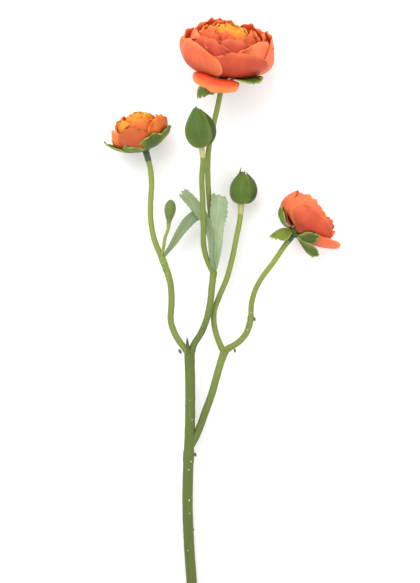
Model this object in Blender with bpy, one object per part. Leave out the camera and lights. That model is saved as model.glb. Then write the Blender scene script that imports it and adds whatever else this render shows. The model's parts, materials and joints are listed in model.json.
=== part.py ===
"""A cut spray of orange ranunculus, lying on a level surface.

One branching stem carries three open flowers, three buds and three toothed leaf blades.
It is one body: every petal, sepal, leaf and stalk is its own object, set a hair from what carries it.
The stem points along +Y and +Z is up. It rests on its cut end and on the lowest petals of the flowers.
"""

import math

import bpy
import numpy as np

MM = 0.001

# Driving dimensions, in millimetres.
JOINT_GAP = 0.3
MAIN_STEM_RADIUS = 3.7
SLEEVE_RADIUS = 4.0
BRANCH_RADIUS = 2.65
LIMB_RADIUS = 2.25
STALK_RADIUS = 1.9
FINE_STALK_RADIUS = 1.2
COLLAR_RADIUS = 2.15
STEM_SIDES = 10
RING_SPACING = 8.0
PETAL_THICKNESS = 0.5
SEPAL_THICKNESS = 0.6
LEAF_THICKNESS = 0.8
RECEPTACLE_RADIUS = 3.4
RECEPTACLE_DEPTH = 3.4
SHELL_STEP = 1.5
SHELL_RISE = 1.25
CENTRE_RISE = 0.35
CROWN_ROOM = 4.0  # how far above the folded centre the shells would close

# Finishes: base colour and roughness.
FINISHES = {
    "main_stem": ((0.24, 0.29, 0.11), 0.6),
    "stalk": ((0.40, 0.50, 0.16), 0.55),
    "leaf": ((0.42, 0.52, 0.30), 0.7),
    "sepal": ((0.26, 0.38, 0.10), 0.65),
    "bud": ((0.18, 0.28, 0.07), 0.6),
    "petal": ((0.86, 0.21, 0.07), 0.6),
    "heart": ((0.84, 0.38, 0.06), 0.65),
}


def finish(name):
    """The Principled material of that name, made on first use."""
    if name in bpy.data.materials:
        return bpy.data.materials[name]
    colour, roughness = FINISHES[name]
    material = bpy.data.materials.new(name)
    material.use_nodes = True
    shader = material.node_tree.nodes["Principled BSDF"]
    shader.inputs["Base Color"].default_value = (*colour, 1.0)
    shader.inputs["Roughness"].default_value = roughness
    return material


def unit(vector):
    """The vector scaled to length one."""
    vector = np.asarray(vector, float)
    return vector / np.linalg.norm(vector)


def solid(name, points, faces, material):
    """A smooth-shaded object from points in millimetres, its faces turned outward."""
    mesh = bpy.data.meshes.new(name)
    mesh.from_pydata([tuple(p * MM) for p in np.asarray(points, float)], [], faces)
    mesh.validate()
    corners = np.array([v.co[:] for v in mesh.vertices])
    mesh.calc_loop_triangles()
    signed = sum(
        np.dot(corners[t.vertices[0]], np.cross(corners[t.vertices[1]], corners[t.vertices[2]]))
        for t in mesh.loop_triangles
    )
    if signed < 0:
        mesh.flip_normals()
    mesh.materials.append(finish(material))
    for polygon in mesh.polygons:
        polygon.use_smooth = True
    mesh.set_sharp_from_angle(angle=math.radians(40))
    made = bpy.data.objects.new(name, mesh)
    bpy.context.scene.collection.objects.link(made)
    return made


# ---------------------------------------------------------------- stems

def smooth_route(points, spacing):
    """Even steps along a rounded curve through the points."""
    points = np.asarray(points, float)
    length = np.concatenate([[0], np.cumsum(np.linalg.norm(np.diff(points, axis=0), axis=1))])
    slopes = np.gradient(points, length, axis=0)
    fine = []
    for i, span in enumerate(np.diff(length)):
        t = np.linspace(0, 1, 12, endpoint=False)[:, None]
        fine.append(
            (2 * t**3 - 3 * t**2 + 1) * points[i]
            + (t**3 - 2 * t**2 + t) * span * slopes[i]
            + (3 * t**2 - 2 * t**3) * points[i + 1]
            + (t**3 - t**2) * span * slopes[i + 1]
        )
    fine = np.vstack([*fine, points[-1:]])
    run = np.concatenate([[0], np.cumsum(np.linalg.norm(np.diff(fine, axis=0), axis=1))])
    steps = np.linspace(0, run[-1], max(4, round(run[-1] / spacing)) + 1)
    return np.column_stack([np.interp(steps, run, fine[:, k]) for k in range(3)])


def tube_mesh(name, route, radii, material, extra=0.0):
    """A round stalk along the route; radii are (share of its length, radius) pairs.

    extra makes it that much thicker all round and longer at both ends.
    """
    line = smooth_route(route, RING_SPACING)
    shares = np.linspace(0, 1, len(line))
    marks = sorted({*shares, *(share for share, _ in radii)})
    line = np.column_stack([np.interp(marks, shares, line[:, k]) for k in range(3)])
    widths = np.interp(marks, *zip(*radii)) + extra
    along = np.gradient(line, axis=0)
    line[0] -= extra * unit(along[0])
    line[-1] += extra * unit(along[-1])
    points, faces = [], []
    for centre, heading, width in zip(line, along, widths):
        heading = unit(heading)
        up = unit(np.array([0, 0, 1.0]) - heading[2] * heading)
        side = np.cross(heading, up)
        for k in range(STEM_SIDES):
            angle = 2 * math.pi * k / STEM_SIDES
            points.append(centre + width * (math.cos(angle) * side + math.sin(angle) * up))
    for ring in range(len(line) - 1):
        for k in range(STEM_SIDES):
            a, b = ring * STEM_SIDES + k, ring * STEM_SIDES + (k + 1) % STEM_SIDES
            faces.append((a, b, b + STEM_SIDES, a + STEM_SIDES))
    faces.append(tuple(reversed(range(STEM_SIDES))))
    faces.append(tuple(range(len(points) - STEM_SIDES, len(points))))
    return solid(name, points, faces, material)


def stem(name, route, radii, material, carriers=()):
    """A stalk whose foot is cut a joint gap clear of the stems that carry it."""
    made = tube_mesh(name, route, radii, material)
    STEMS[name] = (route, radii)
    clear_of(made, carriers)
    return made


def clear_of(piece, carriers):
    """Cuts the piece back a joint gap from each named stem."""
    for carrier in carriers:
        helper = f"clearance_{carrier}"
        cutter = bpy.data.objects.get(helper)
        if cutter is None:
            cutter = tube_mesh(helper, *STEMS[carrier], "stalk", extra=JOINT_GAP)
            cutter.hide_render = True
            cutter.display_type = "WIRE"
        cut = piece.modifiers.new(f"clear {carrier}", "BOOLEAN")
        cut.operation = "DIFFERENCE"
        cut.solver = "EXACT"
        cut.object = cutter


STEMS = {}


# ---------------------------------------------------------------- flower heads and buds

class Head:
    """Where a flower or bud sits: its base, the way it faces, and the turn that faces the sky."""

    def __init__(self, base, axis):
        self.base = np.asarray(base, float)
        self.axis = unit(axis)
        self.front = unit(np.array([0, 0, 1.0]) - self.axis[2] * self.axis)
        self.right = np.cross(self.axis, self.front)

    def place(self, radius, height, angle):
        """The point at this radius, height and turn; 0 is to the right and a quarter turn is the sky."""
        return (
            self.base
            + height * self.axis
            + radius * (math.cos(angle) * self.right + math.sin(angle) * self.front)
        )

    def foot(self):
        """Where the stalk stops, a joint gap under the receptacle."""
        return self.base - (RECEPTACLE_DEPTH + JOINT_GAP) * self.axis


def through(points):
    """A rounded (radius, height) profile through the points, as a function of 0 to 1."""
    points = np.asarray(points, float)
    flat = smooth_route(np.column_stack([points, np.zeros(len(points))]), 0.5)[:, :2]
    marks = np.linspace(0, 1, len(flat))
    return lambda t: np.array([np.interp(t, marks, flat[:, 0]), np.interp(t, marks, flat[:, 1])])


def bowl(radius, depth, top, shell, reach):
    """Profile of one nested shell of a bowl-shaped flower, from the receptacle to its rim.

    The shell is widest at depth and would close at top; shell counts inwards from 0, and
    below 0 outwards; reach is the turn from the foot of the bowl.
    """
    wide = radius - shell * SHELL_STEP
    centre = depth + shell * CENTRE_RISE
    tall = centre - shell * SHELL_RISE
    first = math.asin((RECEPTACLE_RADIUS + JOINT_GAP) / (wide - PETAL_THICKNESS))
    last = math.radians(reach)

    crown = top - centre - shell * CENTRE_RISE

    def profile(t):
        turn = first + t * (last - first)
        rise = tall if turn < 0.5 * math.pi else crown
        return np.array([wide * math.sin(turn), centre - rise * math.cos(turn)])

    return profile


def whorl_piece(name, head, profile, angle, spread, material, thickness, rows=6, columns=6,
                corner=0.14, tip=0.5, wave=0.0, twist=0.0):
    """A petal or sepal: a rounded patch wrapped round the head's axis along the profile.

    angle and spread are in degrees; tip is the share of the spread left at the rim, wave
    the ruffle of the rim as a share of the radius, and twist how far one edge rises at it.
    """
    outer, inner = [], []
    for i in range(rows + 1):
        t = i / rows
        widening = 0.42 + 0.58 * math.sin(0.5 * math.pi * min(1, t / 0.6))
        narrowing = tip + (1 - tip) * math.sqrt(max(0.0, 1 - max(0, (t - 0.6) / 0.4) ** 2))
        half = math.radians(spread) * widening * narrowing
        for j in range(columns + 1):
            s = 2 * j / columns - 1
            at = t * (1 - corner * s * s * t)
            turn = math.radians(angle) + s * half
            here, ahead = profile(at), profile(min(1, at + 0.01)) - profile(max(0, at - 0.01))
            normal = unit([ahead[1], -ahead[0]])
            ruffle = 1 + wave * math.sin(5 * turn) * min(1, max(0, (at - 0.45) / 0.5))
            for face, depth in ((outer, 0), (inner, thickness)):
                radius, height = here - depth * normal
                height += twist * s * t
                face.append(head.place(radius * ruffle, height, turn))
    wide = columns + 1
    count = len(outer)
    faces = []
    for i in range(rows):
        for j in range(columns):
            a = i * wide + j
            quad = (a, a + 1, a + wide + 1, a + wide)
            faces.append(quad)
            faces.append(tuple(count + k for k in reversed(quad)))
    rim = [
        *range(columns + 1),
        *(i * wide + columns for i in range(1, rows + 1)),
        *(rows * wide + j for j in reversed(range(columns))),
        *(i * wide for i in reversed(range(1, rows))),
    ]
    for a, b in zip(rim, rim[1:] + rim[:1]):
        faces.append((b, a, count + a, count + b))
    return solid(name, outer + inner, faces, material)


def turned(name, head, outline, material, sides=14, lobes=0, depth=0.0):
    """A solid turned round the head's axis; outline is (radius, height), first and last on the axis."""
    points, faces = [head.place(0, outline[0][1], 0)], []
    for share, (radius, height) in enumerate(outline[1:-1]):
        for k in range(sides):
            angle = 2 * math.pi * k / sides
            swell = 1 + depth * math.sin(lobes * angle + 0.5 * share)
            points.append(head.place(radius * swell, height, angle))
    points.append(head.place(0, outline[-1][1], 0))
    for ring in range(len(outline) - 3):
        for k in range(sides):
            a, b = 1 + ring * sides + k, 1 + ring * sides + (k + 1) % sides
            faces.append((b, a, a + sides, b + sides))
    last = len(points) - 1
    for k in range(sides):
        following = (k + 1) % sides
        faces.append((0, 1 + k, 1 + following))
        faces.append((last, last - sides + following, last - sides + k))
    return solid(name, points, faces, material)


def heart_outline(wide, top, waist, clearance_radius, clearance_depth, centre):
    """Receptacle, then the dome of folded centre petals inside the innermost shell."""
    outline = [
        (0, -RECEPTACLE_DEPTH),
        (2.3, -RECEPTACLE_DEPTH),
        (RECEPTACLE_RADIUS, -RECEPTACLE_DEPTH + 1.0),
        (RECEPTACLE_RADIUS, waist),
    ]
    for share in (0.45, 0.75, 0.95):
        radius = clearance_radius * share
        height = centre - clearance_depth * math.sqrt(1 - share**2)
        outline.append((min(radius, wide), height + 0.6))
    for share in (0.15, 0.4, 0.62, 0.8, 0.93):
        rise = share**1.1
        outline.append((wide * math.sqrt(1 - rise**2.2), centre + (top - centre) * share))
    return [*outline, (0, top)]


def lowest(objects):
    """Height of the lowest point of these objects, in millimetres."""
    return min(v.co.z for piece in objects for v in piece.data.vertices) / MM


def lift(objects, rise):
    """Moves the meshes of these objects up by rise millimetres."""
    for piece in objects:
        for vertex in piece.data.vertices:
            vertex.co.z += rise * MM


def flower(name, base, axis, radius, depth, petals, sepals, heart_top, lip=None):
    """An open flower whose lowest petal rests on the surface; returns its settled Head.

    petals lists (angle, spread, reach) from the outermost shell inwards, and sepals lists
    (angle, spread, profile points, and for a twisted one its twist).
    """
    top = heart_top + CROWN_ROOM
    head = Head(base, axis)
    parts = []
    for shell, (angle, spread, reach) in enumerate(petals):
        parts.append(
            whorl_piece(f"{name}_petal_{shell + 1}", head, bowl(radius, depth, top, shell, reach),
                        angle, spread, "petal", PETAL_THICKNESS, rows=7, columns=7, corner=0.11, tip=0.62,
                        wave=0.02)
        )
    if lip:
        angle, spread, profile = lip
        parts.append(
            whorl_piece(f"{name}_lip_petal", head, through(profile), angle, spread, "petal",
                        PETAL_THICKNESS, rows=8, columns=6, corner=0.08, tip=0.6)
        )
    for number, (angle, spread, profile, *twist) in enumerate(sepals, 1):
        if not callable(profile):
            profile = through(profile)
        parts.append(
            whorl_piece(f"{name}_sepal_{number}", head, profile, angle, spread, "sepal",
                        SEPAL_THICKNESS, rows=6, columns=4, corner=0.05, tip=0.3, twist=sum(twist))
        )
    innermost = len(petals) - 1
    centre = depth + innermost * CENTRE_RISE
    room_wide = radius - innermost * SHELL_STEP - PETAL_THICKNESS - 0.6
    room_tall = centre - innermost * SHELL_RISE - PETAL_THICKNESS - 0.6
    waist = centre - room_tall + 0.2
    outline = heart_outline(room_wide * 0.9, heart_top, waist, room_wide, room_tall, centre)
    parts.append(turned(f"{name}_heart", head, outline, "heart", lobes=5, depth=0.0))
    rise = -lowest(parts)
    lift(parts, rise)
    return Head(head.base + [0, 0, rise], axis)


def bud(name, base, axis, outline, sepals):
    """A closed bud: a turned core wrapped by overlapping sepals, outermost last."""
    head = Head(base, axis)
    core = [(0, outline[0][1]), *outline]
    turned(f"{name}_core", head, core, "bud", sides=12)
    skin = np.asarray(outline[:-1] + [(0.35, outline[-1][1] - 0.6)], float)
    for layer, (angle, spread, reach) in enumerate(sepals):
        away = 2 * JOINT_GAP + SEPAL_THICKNESS + layer * (SEPAL_THICKNESS + JOINT_GAP)
        slopes = np.gradient(skin, axis=0)
        normals = np.array([unit([s[1], -s[0]]) for s in slopes])
        profile = through(skin + away * normals)
        whorl_piece(f"{name}_sepal_{layer + 1}", head,
                    lambda t, p=profile, r=reach: p(0.04 + t * (r - 0.04)), angle, spread,
                    "bud", SEPAL_THICKNESS, rows=8, columns=6, corner=0.06, tip=0.45)
    return head


# ---------------------------------------------------------------- leaves

def leaf(name, route, widths, lean, teeth, carriers):
    """A thin blade along the route with a toothed end, cut clear of the stems at its foot.

    widths are (left, right) half widths at even steps; lean tips the blade about its length,
    in degrees; teeth are the forward steps of the end, from left to right.
    """
    rows = 8
    line = smooth_route(route, 1.0)
    marks = np.linspace(0, 1, len(line))
    shares = np.linspace(0, 1, rows + 1)
    line = np.column_stack([np.interp(shares, marks, line[:, k]) for k in range(3)])
    along = np.gradient(line, axis=0)
    steps = np.linspace(0, 1, len(widths))
    left = np.interp(shares, steps, [w[0] for w in widths])
    right = np.interp(shares, steps, [w[1] for w in widths])
    columns = len(teeth) - 1
    upper, lower = [], []
    for i, (centre, heading) in enumerate(zip(line, along)):
        heading = unit(heading)
        up = unit(np.array([0, 0, 1.0]) - heading[2] * heading)
        side = np.cross(heading, up)
        tilt = math.radians(lean) * shares[i]
        side, up = (
            math.cos(tilt) * side + math.sin(tilt) * up,
            math.cos(tilt) * up - math.sin(tilt) * side,
        )
        for j in range(columns + 1):
            s = 2 * j / columns - 1
            across = s * (right[i] if s > 0 else left[i])
            forward = teeth[j] * max(0, (shares[i] - 0.6) / 0.4) ** 2
            notch = 1 - 0.08 * (i % 2) * (abs(s) > 0.9)
            spot = centre + across * notch * side + forward * heading + 0.9 * s * s * shares[i] * up
            upper.append(spot + 0.5 * LEAF_THICKNESS * up)
            lower.append(spot - 0.5 * LEAF_THICKNESS * up)
    wide, count = columns + 1, len(upper)
    faces = []
    for i in range(rows):
        for j in range(columns):
            a = i * wide + j
            quad = (a, a + 1, a + wide + 1, a + wide)
            faces.append(quad)
            faces.append(tuple(count + k for k in reversed(quad)))
    rim = [
        *range(columns + 1),
        *(i * wide + columns for i in range(1, rows + 1)),
        *(rows * wide + j for j in reversed(range(columns))),
        *(i * wide for i in reversed(range(1, rows))),
    ]
    for a, b in zip(rim, rim[1:] + rim[:1]):
        faces.append((b, a, count + a, count + b))
    made = solid(name, upper + lower, faces, "leaf")
    clear_of(made, carriers)
    return made


# ---------------------------------------------------------------- the spray

def flowers():
    """The three open flowers; returns their settled heads."""
    top = flower(
        "top_flower", (-0.6, 173.5, 27), (0.17, 0.965, 0.2), radius=33.0, depth=18, heart_top=40,
        petals=[
            (200, 58, 104), (320, 58, 106), (75, 60, 98), (150, 56, 108), (265, 56, 108),
            (20, 56, 108), (110, 56, 104), (225, 56, 110), (340, 56, 110),
        ],
        lip=(100, 37, [
            (3.7, -1.3), (9, -0.7), (15, 0.7), (20, 2.1), (23.5, 1.2), (25.2, -2.4), (24.8, -7.0),
        ]),
        sepals=[
            (42, 20, [(3.7, -1.6), (10, -1.0), (18, 0.8), (27, 3.0), (37, 4.6)], -2.0),
            (62, 24, [(3.7, -2.5), (7, -3.4), (10.5, -5.4), (12.5, -8.5)]),
            (133, 32, [(3.7, -2.4), (8, -3.2), (12.5, -6.0), (16.0, -11.0), (16.4, -17.0)]),
            (206, 20, [(3.7, -1.6), (10, -1.2), (18, 0.8), (24, 3.4), (28.5, 6.6)]),
            (290, 26, bowl(33.0, 18, 44, -1.2, 46)),
        ],
    )
    left = flower(
        "left_flower", (-55.6, 125.0, 19), (-0.25, 0.95, 0.15), radius=20.5, depth=12.5, heart_top=27,
        petals=[
            (105, 64, 104), (225, 64, 108), (345, 64, 110), (165, 60, 112), (45, 60, 112),
        ],
        sepals=[
            (17, 25, bowl(20.5, 12.5, 29, -1.2, 80)),
            (71, 27, bowl(20.5, 12.5, 29, -1.2, 78)),
            (127, 27, [(3.7, -1.6), (9, -1.2), (14, 0.6), (18, 3.2), (20.5, 6.0)]),
            (181, 25, [(3.7, -1.6), (10, -0.8), (18.5, 2.8), (23.5, 6.6), (27.0, 12.0)]),
            (270, 27, bowl(20.5, 12.5, 29, -1.2, 50)),
        ],
    )
    right = flower(
        "right_flower", (50.0, 65.4, 22), (0.68, 0.70, -0.16), radius=21.5, depth=12.5, heart_top=26,
        petals=[
            (75, 64, 106), (190, 64, 110), (300, 64, 104), (135, 60, 114),
        ],
        lip=(8, 36, [
            (3.7, -1.2), (9, -0.4), (14, 1.6), (18.5, 4.6), (22.5, 8.2), (26.5, 11.6), (30, 13.4),
        ]),
        sepals=[
            (24, 26, [(3.7, -2.6), (9, -3.4), (14, -3.4), (19, -2.8), (26, -1.4)], 2.0),
            (54, 24, [(3.7, -1.6), (9, -1.7), (15, 0.0), (20, 3.4), (23.5, 7.2)]),
            (132, 34, [(3.7, -1.6), (7, -3.4), (9.6, -7.4), (10.6, -12), (10.8, -16)]),
            (162, 22, bowl(21.5, 12.5, 30, -1.2, 72)),
            (262, 26, bowl(21.5, 12.5, 30, -1.2, 52)),
        ],
    )
    return top, left, right


def buds():
    """The two big buds and the small one; returns their heads."""
    large = bud(
        "large_bud", (-15.7, 124.1, 38), (-0.13, 0.98, 0.08),
        [
            (2.2, 0), (5.8, 2.0), (8.3, 7.0), (8.4, 12.5), (6.6, 18.0), (3.6, 23.4), (1.3, 27.0), (0, 28.6),
        ],
        [(93, 76, 0.97), (222, 62, 0.93), (348, 62, 0.74)],
    )
    right = bud(
        "right_bud", (12.0, 86.0, 13.5), (0.06, 0.99, 0.02),
        [(2.2, 0), (5.2, 1.6), (7.2, 5.4), (7.4, 9.5), (6.0, 14.0), (3.6, 18.0), (1.5, 20.8), (0, 22.0)],
        [(95, 76, 0.97), (232, 62, 0.93), (352, 60, 0.8)],
    )
    small = Head((-38.7, 71.5, 19.4), (0.1, 0.98, 0.05))
    turned("small_bud", small, [
        (0, 0), (1.4, 0), (2.2, 3.0), (3.5, 6.5), (4.1, 10.0), (3.7, 13.0), (2.4, 15.4), (1.0, 16.5),
        (0, 16.8),
    ], "bud", sides=12)
    return large, right, small


def foot_of_bud(head):
    """Where a bud's stalk stops."""
    return tuple(head.base - JOINT_GAP * head.axis)


def neck(head, back, foot=None):
    """Two last points of a stalk, so that it meets the head square."""
    end = np.asarray(foot) if foot is not None else head.foot()
    return [tuple(end - back * head.axis), tuple(end)]


def stems(top, left, right, large_bud, right_bud, small_bud):
    """Every stem and stalk, from the cut end up."""
    collar = [(0, STALK_RADIUS), (0.9, STALK_RADIUS), (0.93, COLLAR_RADIUS), (1, COLLAR_RADIUS)]
    stem("main_stem", [
        (-20.0, -211.6, MAIN_STEM_RADIUS * 0.955), (-22.8, -178.9, 5.4), (-24.6, -153.4, 7.2),
        (-25.6, -126.5, 9.2),
        (-25.1, -98.2, 11.0), (-23.9, -70.0, 12.8), (-23.8, -41.8, 14.6), (-24.2, -20.0, 16.0),
    ], [(0, MAIN_STEM_RADIUS), (0.6, MAIN_STEM_RADIUS), (0.61, SLEEVE_RADIUS), (0.64, SLEEVE_RADIUS),
        (0.65, MAIN_STEM_RADIUS * 0.95), (1, MAIN_STEM_RADIUS * 0.95)], "main_stem")
    stem("centre_stem", [
        (-23.6, -22.0, 16.0), (-21.4, -14.0, 16.1), (-16.1, -5.3, 16.3), (-12.6, 3.1, 16.4),
        (-9.7, 15.7, 16.6),
        (-8.4, 28.4, 16.8), (-7.2, 38.0, 17.0),
    ], [(0, LIMB_RADIUS * 1.15), (0.15, LIMB_RADIUS), (0.9, LIMB_RADIUS), (1, LIMB_RADIUS * 1.15)],
        "stalk",
        ["main_stem"])
    stem("left_flower_stalk", [
        (-24.2, -20.6, 16.0), (-26.8, -17.0, 16.0), (-30.5, -12.3, 15.9), (-34.7, -5.3, 15.6),
        (-37.3, 3.1, 15.4),
        (-36.8, 15.7, 15.0), (-37.4, 28.4, 14.6), (-41.0, 41.0, 14.3), (-44.6, 49.4, 14.2),
        (-48.1, 57.8, 14.5),
        (-51.0, 70.5, 15.1), (-51.6, 84.5, 15.9), (-50.8, 98.5, 16.7), *neck(left, 12),
    ], [(0, LIMB_RADIUS), (0.42, LIMB_RADIUS), (0.45, LIMB_RADIUS * 1.1), (0.5, STALK_RADIUS),
        (0.94, STALK_RADIUS),
        (0.95, COLLAR_RADIUS), (1, COLLAR_RADIUS)], "stalk", ["main_stem", "centre_stem"])
    stem("small_bud_stalk", [
        (-44.2, 48.4, 14.3), (-42.6, 53.6, 16.0),
        (-41.2, 62.0, 17.5), *neck(small_bud, 4, foot_of_bud(small_bud)),
    ], [(0, FINE_STALK_RADIUS), (1, FINE_STALK_RADIUS)], "stalk", ["left_flower_stalk"])
    stem("top_flower_stalk", [
        (-7.1, 38.4, 17.0), (-5.8, 49.4, 17.4), (-7.4, 60.0, 17.8), (-9.4, 78.0, 18.6),
        (-11.0, 95.0, 19.6),
        (-11.4, 112.3, 20.8), (-10.6, 124.9, 21.7), (-8.0, 137.4, 22.6),
        (-5.2, 149.9, 23.6), *neck(top, 9),
    ], collar, "stalk")
    stem("large_bud_stalk", [
        (-7.6, 36.6, 17.2), (-9.6, 40.8, 19.4), (-11.6, 45.4, 20.8), (-13.3, 53.5, 23.2),
        (-13.6, 70.2, 26.9),
        (-13.8, 86.9, 30.4), (-14.8, 103.5, 33.6), *neck(large_bud, 7, foot_of_bud(large_bud)),
    ], collar, "stalk", ["centre_stem", "top_flower_stalk"])
    stem("right_branch_stem", [
        (-23.7, -85.0, 12.0), (-20.6, -79.4, 12.0), (-17.6, -72.8, 12.1), (-13.0, -60.2, 12.3),
        (-8.4, -47.5, 12.5),
        (-4.9, -34.9, 12.7), (-1.2, -22.6, 12.9), (0.6, -18.0, 13.0),
    ], [(0, BRANCH_RADIUS), (0.92, BRANCH_RADIUS), (1, BRANCH_RADIUS * 1.12)], "stalk", ["main_stem"])
    stem("right_flower_stalk", [
        (0.9, -17.7, 13.0), (4.2, -15.4, 13.1), (9.2, -12.4, 13.2), (14.8, -6.7, 13.5),
        (18.4, 3.1, 14.0),
        (19.3, 15.7, 14.6), (21.4, 24.2, 15.4), (26.0, 33.6, 16.9),
        (33.6, 43.2, 19.2), *neck(right, 12),
    ], [(0, LIMB_RADIUS), (0.25, LIMB_RADIUS), (0.27, LIMB_RADIUS * 1.12), (0.33, LIMB_RADIUS * 1.12),
        (0.35, STALK_RADIUS), (0.92, STALK_RADIUS), (0.93, COLLAR_RADIUS), (1, COLLAR_RADIUS)], "stalk",
        ["right_branch_stem"])
    stem("right_bud_stalk", [
        (0.2, -19.4, 13.0), (-2.4, -14.2, 12.7), (-5.6, -5.4, 12.2), (-7.2, 3.1, 11.8),
        (-6.6, 11.5, 11.6),
        (-3.5, 19.9, 11.6), (1.8, 32.6, 11.8), (5.3, 45.2, 12.1), (8.8, 62.1, 12.6),
        *neck(right_bud, 9, foot_of_bud(right_bud)),
    ], collar, "stalk", ["right_branch_stem", "right_flower_stalk"])


def leaves():
    """The three toothed blades."""
    leaf("leaf_right", [
        (-7.0, 37.0, 17.6), (-6.0, 44.0, 20.4), (-5.4, 54.0, 21.6), (-5.4, 66.0, 21.9),
        (-4.4, 78.0, 22.4),
        (-3.6, 90.0, 24.0),
    ], [(1.2, 1.2), (2.2, 2.2), (3.6, 3.4), (4.6, 4.4), (5.4, 5.8), (4.8, 5.0)], 4,
        [-1.5, 1.0, -0.5, 2.0, 0.5, 2.5, -1.0], ["centre_stem", "top_flower_stalk", "large_bud_stalk"])
    leaf("leaf_middle", [
        (-7.4, 36.0, 17.4), (-8.2, 43.0, 22.0), (-9.2, 52.0, 23.8), (-9.6, 62.0, 23.9),
        (-12.0, 72.0, 23.5),
        (-17.0, 80.0, 22.4), (-22.6, 87.0, 22.0), (-28.6, 93.0, 22.6),
    ], [(1.0, 1.0), (1.3, 1.3), (1.6, 1.6), (2.4, 2.0), (4.2, 3.6), (4.6, 4.2), (4.0, 4.0)], 6,
        [-1.0, 1.5, -0.5, 2.0, 0.0, 1.5, -1.5], ["centre_stem", "top_flower_stalk", "large_bud_stalk"])
    leaf("leaf_left", [
        (-44.0, 46.5, 14.3), (-40.2, 51.0, 15.2), (-36.0, 57.0, 17.0), (-30.4, 66.0, 18.6),
        (-24.4, 73.6, 18.8),
        (-18.8, 78.0, 18.6),
    ], [(1.0, 1.0), (1.8, 1.8), (3.2, 3.2), (4.8, 4.6), (5.6, 5.6), (4.6, 4.6)], 10,
        [-1.5, 1.0, 0.0, 2.0, -0.5, 1.5, -1.0], ["left_flower_stalk", "small_bud_stalk"])


def centre_on_origin():
    """Moves the spray so that its bounding box stands on the middle of its lowest face."""
    every = [piece for piece in bpy.data.objects if piece.type == "MESH"]
    corners = np.array([v.co[:] for p in every if not p.hide_render for v in p.data.vertices])
    low, high = corners.min(axis=0), corners.max(axis=0)
    shift = -np.array([(low[0] + high[0]) / 2, (low[1] + high[1]) / 2, low[2]])
    for piece in every:
        for vertex in piece.data.vertices:
            vertex.co = tuple(np.array(vertex.co[:]) + shift)
        piece.data.update()


def main():
    """Builds the whole spray."""
    for leftover in list(bpy.data.objects):
        bpy.data.objects.remove(leftover)
    top, left, right = flowers()
    large, right_bud, small = buds()
    stems(top, left, right, large, right_bud, small)
    leaves()
    centre_on_origin()


main()
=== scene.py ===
"""Looks for a cut spray of orange ranunculus, lying on a level surface.

Stalks, petals, sepals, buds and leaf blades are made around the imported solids, which keep their places.
Lengths inside the classes are millimetres of the spray as it was laid out; Layout turns them into metres
of the shared frame.
"""

import json
import logging
import math
from dataclasses import dataclass, field, replace
from enum import Enum
from typing import Callable, Optional, Sequence, Union

import bpy
import numpy as np
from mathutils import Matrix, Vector

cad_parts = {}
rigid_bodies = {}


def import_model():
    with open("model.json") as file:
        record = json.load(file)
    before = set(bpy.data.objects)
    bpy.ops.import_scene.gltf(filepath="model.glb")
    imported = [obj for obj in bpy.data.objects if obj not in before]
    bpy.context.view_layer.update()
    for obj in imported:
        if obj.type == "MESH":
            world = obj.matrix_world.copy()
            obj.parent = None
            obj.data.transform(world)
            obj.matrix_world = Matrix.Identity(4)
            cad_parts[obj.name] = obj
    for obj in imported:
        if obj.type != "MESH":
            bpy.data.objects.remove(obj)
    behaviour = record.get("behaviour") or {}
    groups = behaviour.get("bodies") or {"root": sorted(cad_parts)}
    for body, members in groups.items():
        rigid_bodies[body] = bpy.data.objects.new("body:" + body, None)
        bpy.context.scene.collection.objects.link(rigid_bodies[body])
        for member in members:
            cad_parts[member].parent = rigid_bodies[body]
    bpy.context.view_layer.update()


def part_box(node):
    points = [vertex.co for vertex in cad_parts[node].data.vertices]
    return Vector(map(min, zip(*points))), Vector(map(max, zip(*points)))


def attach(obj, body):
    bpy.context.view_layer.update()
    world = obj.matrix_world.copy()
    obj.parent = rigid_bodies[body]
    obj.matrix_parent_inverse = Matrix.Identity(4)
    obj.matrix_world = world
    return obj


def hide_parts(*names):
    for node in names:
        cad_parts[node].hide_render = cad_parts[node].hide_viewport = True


MM = 0.001
GOLDEN_TURN = 137.508  # degrees between one petal and the next
FLOOR_GAP = 0.5  # least height of a petal's own surface, so that its thickness stays above the floor
LEAST_RADIUS = 0.02  # of a turned body's ring, so that the ring doesn't fall into a point
Colour = tuple[float, float, float]
Point = tuple[float, float, float]
Outline = Sequence[tuple[float, float]]
Profile = Callable[[np.ndarray], np.ndarray]
Material, Mesh, Object = bpy.types.Material, bpy.types.Mesh, bpy.types.Object
Socket = bpy.types.NodeSocket
Faces = list[tuple[int, ...]]

log = logging.getLogger("ranunculus")


class Slot(Enum):
    """Names of the record's material slots; each new piece is passed one, which present() doesn't use."""

    MAIN_STEM = "main_stem"
    STALK = "stalk"
    LEAF = "leaf"
    SEPAL = "sepal"
    BUD = "bud"
    PETAL = "petal"
    HEART = "heart"


# ---------------------------------------------------------------- shader helpers


@dataclass(frozen=True)
class Surface:
    """How a finish takes the light: its grain, roughness, relief, gloss and the light that soaks in."""

    grain: float
    detail: float
    roughness: float
    spread: float
    grain_relief: float
    line_relief: float
    bump: float
    depth: float
    gloss: float = 0.5
    soak: float = 0.0
    soak_radius: Point = (1.0, 0.2, 0.1)
    soak_scale: float = 0.0015


def shade(colour: Colour, factor: float) -> Colour:
    """The colour made darker or lighter."""
    return tuple(min(1.0, factor * c) for c in colour)


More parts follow.
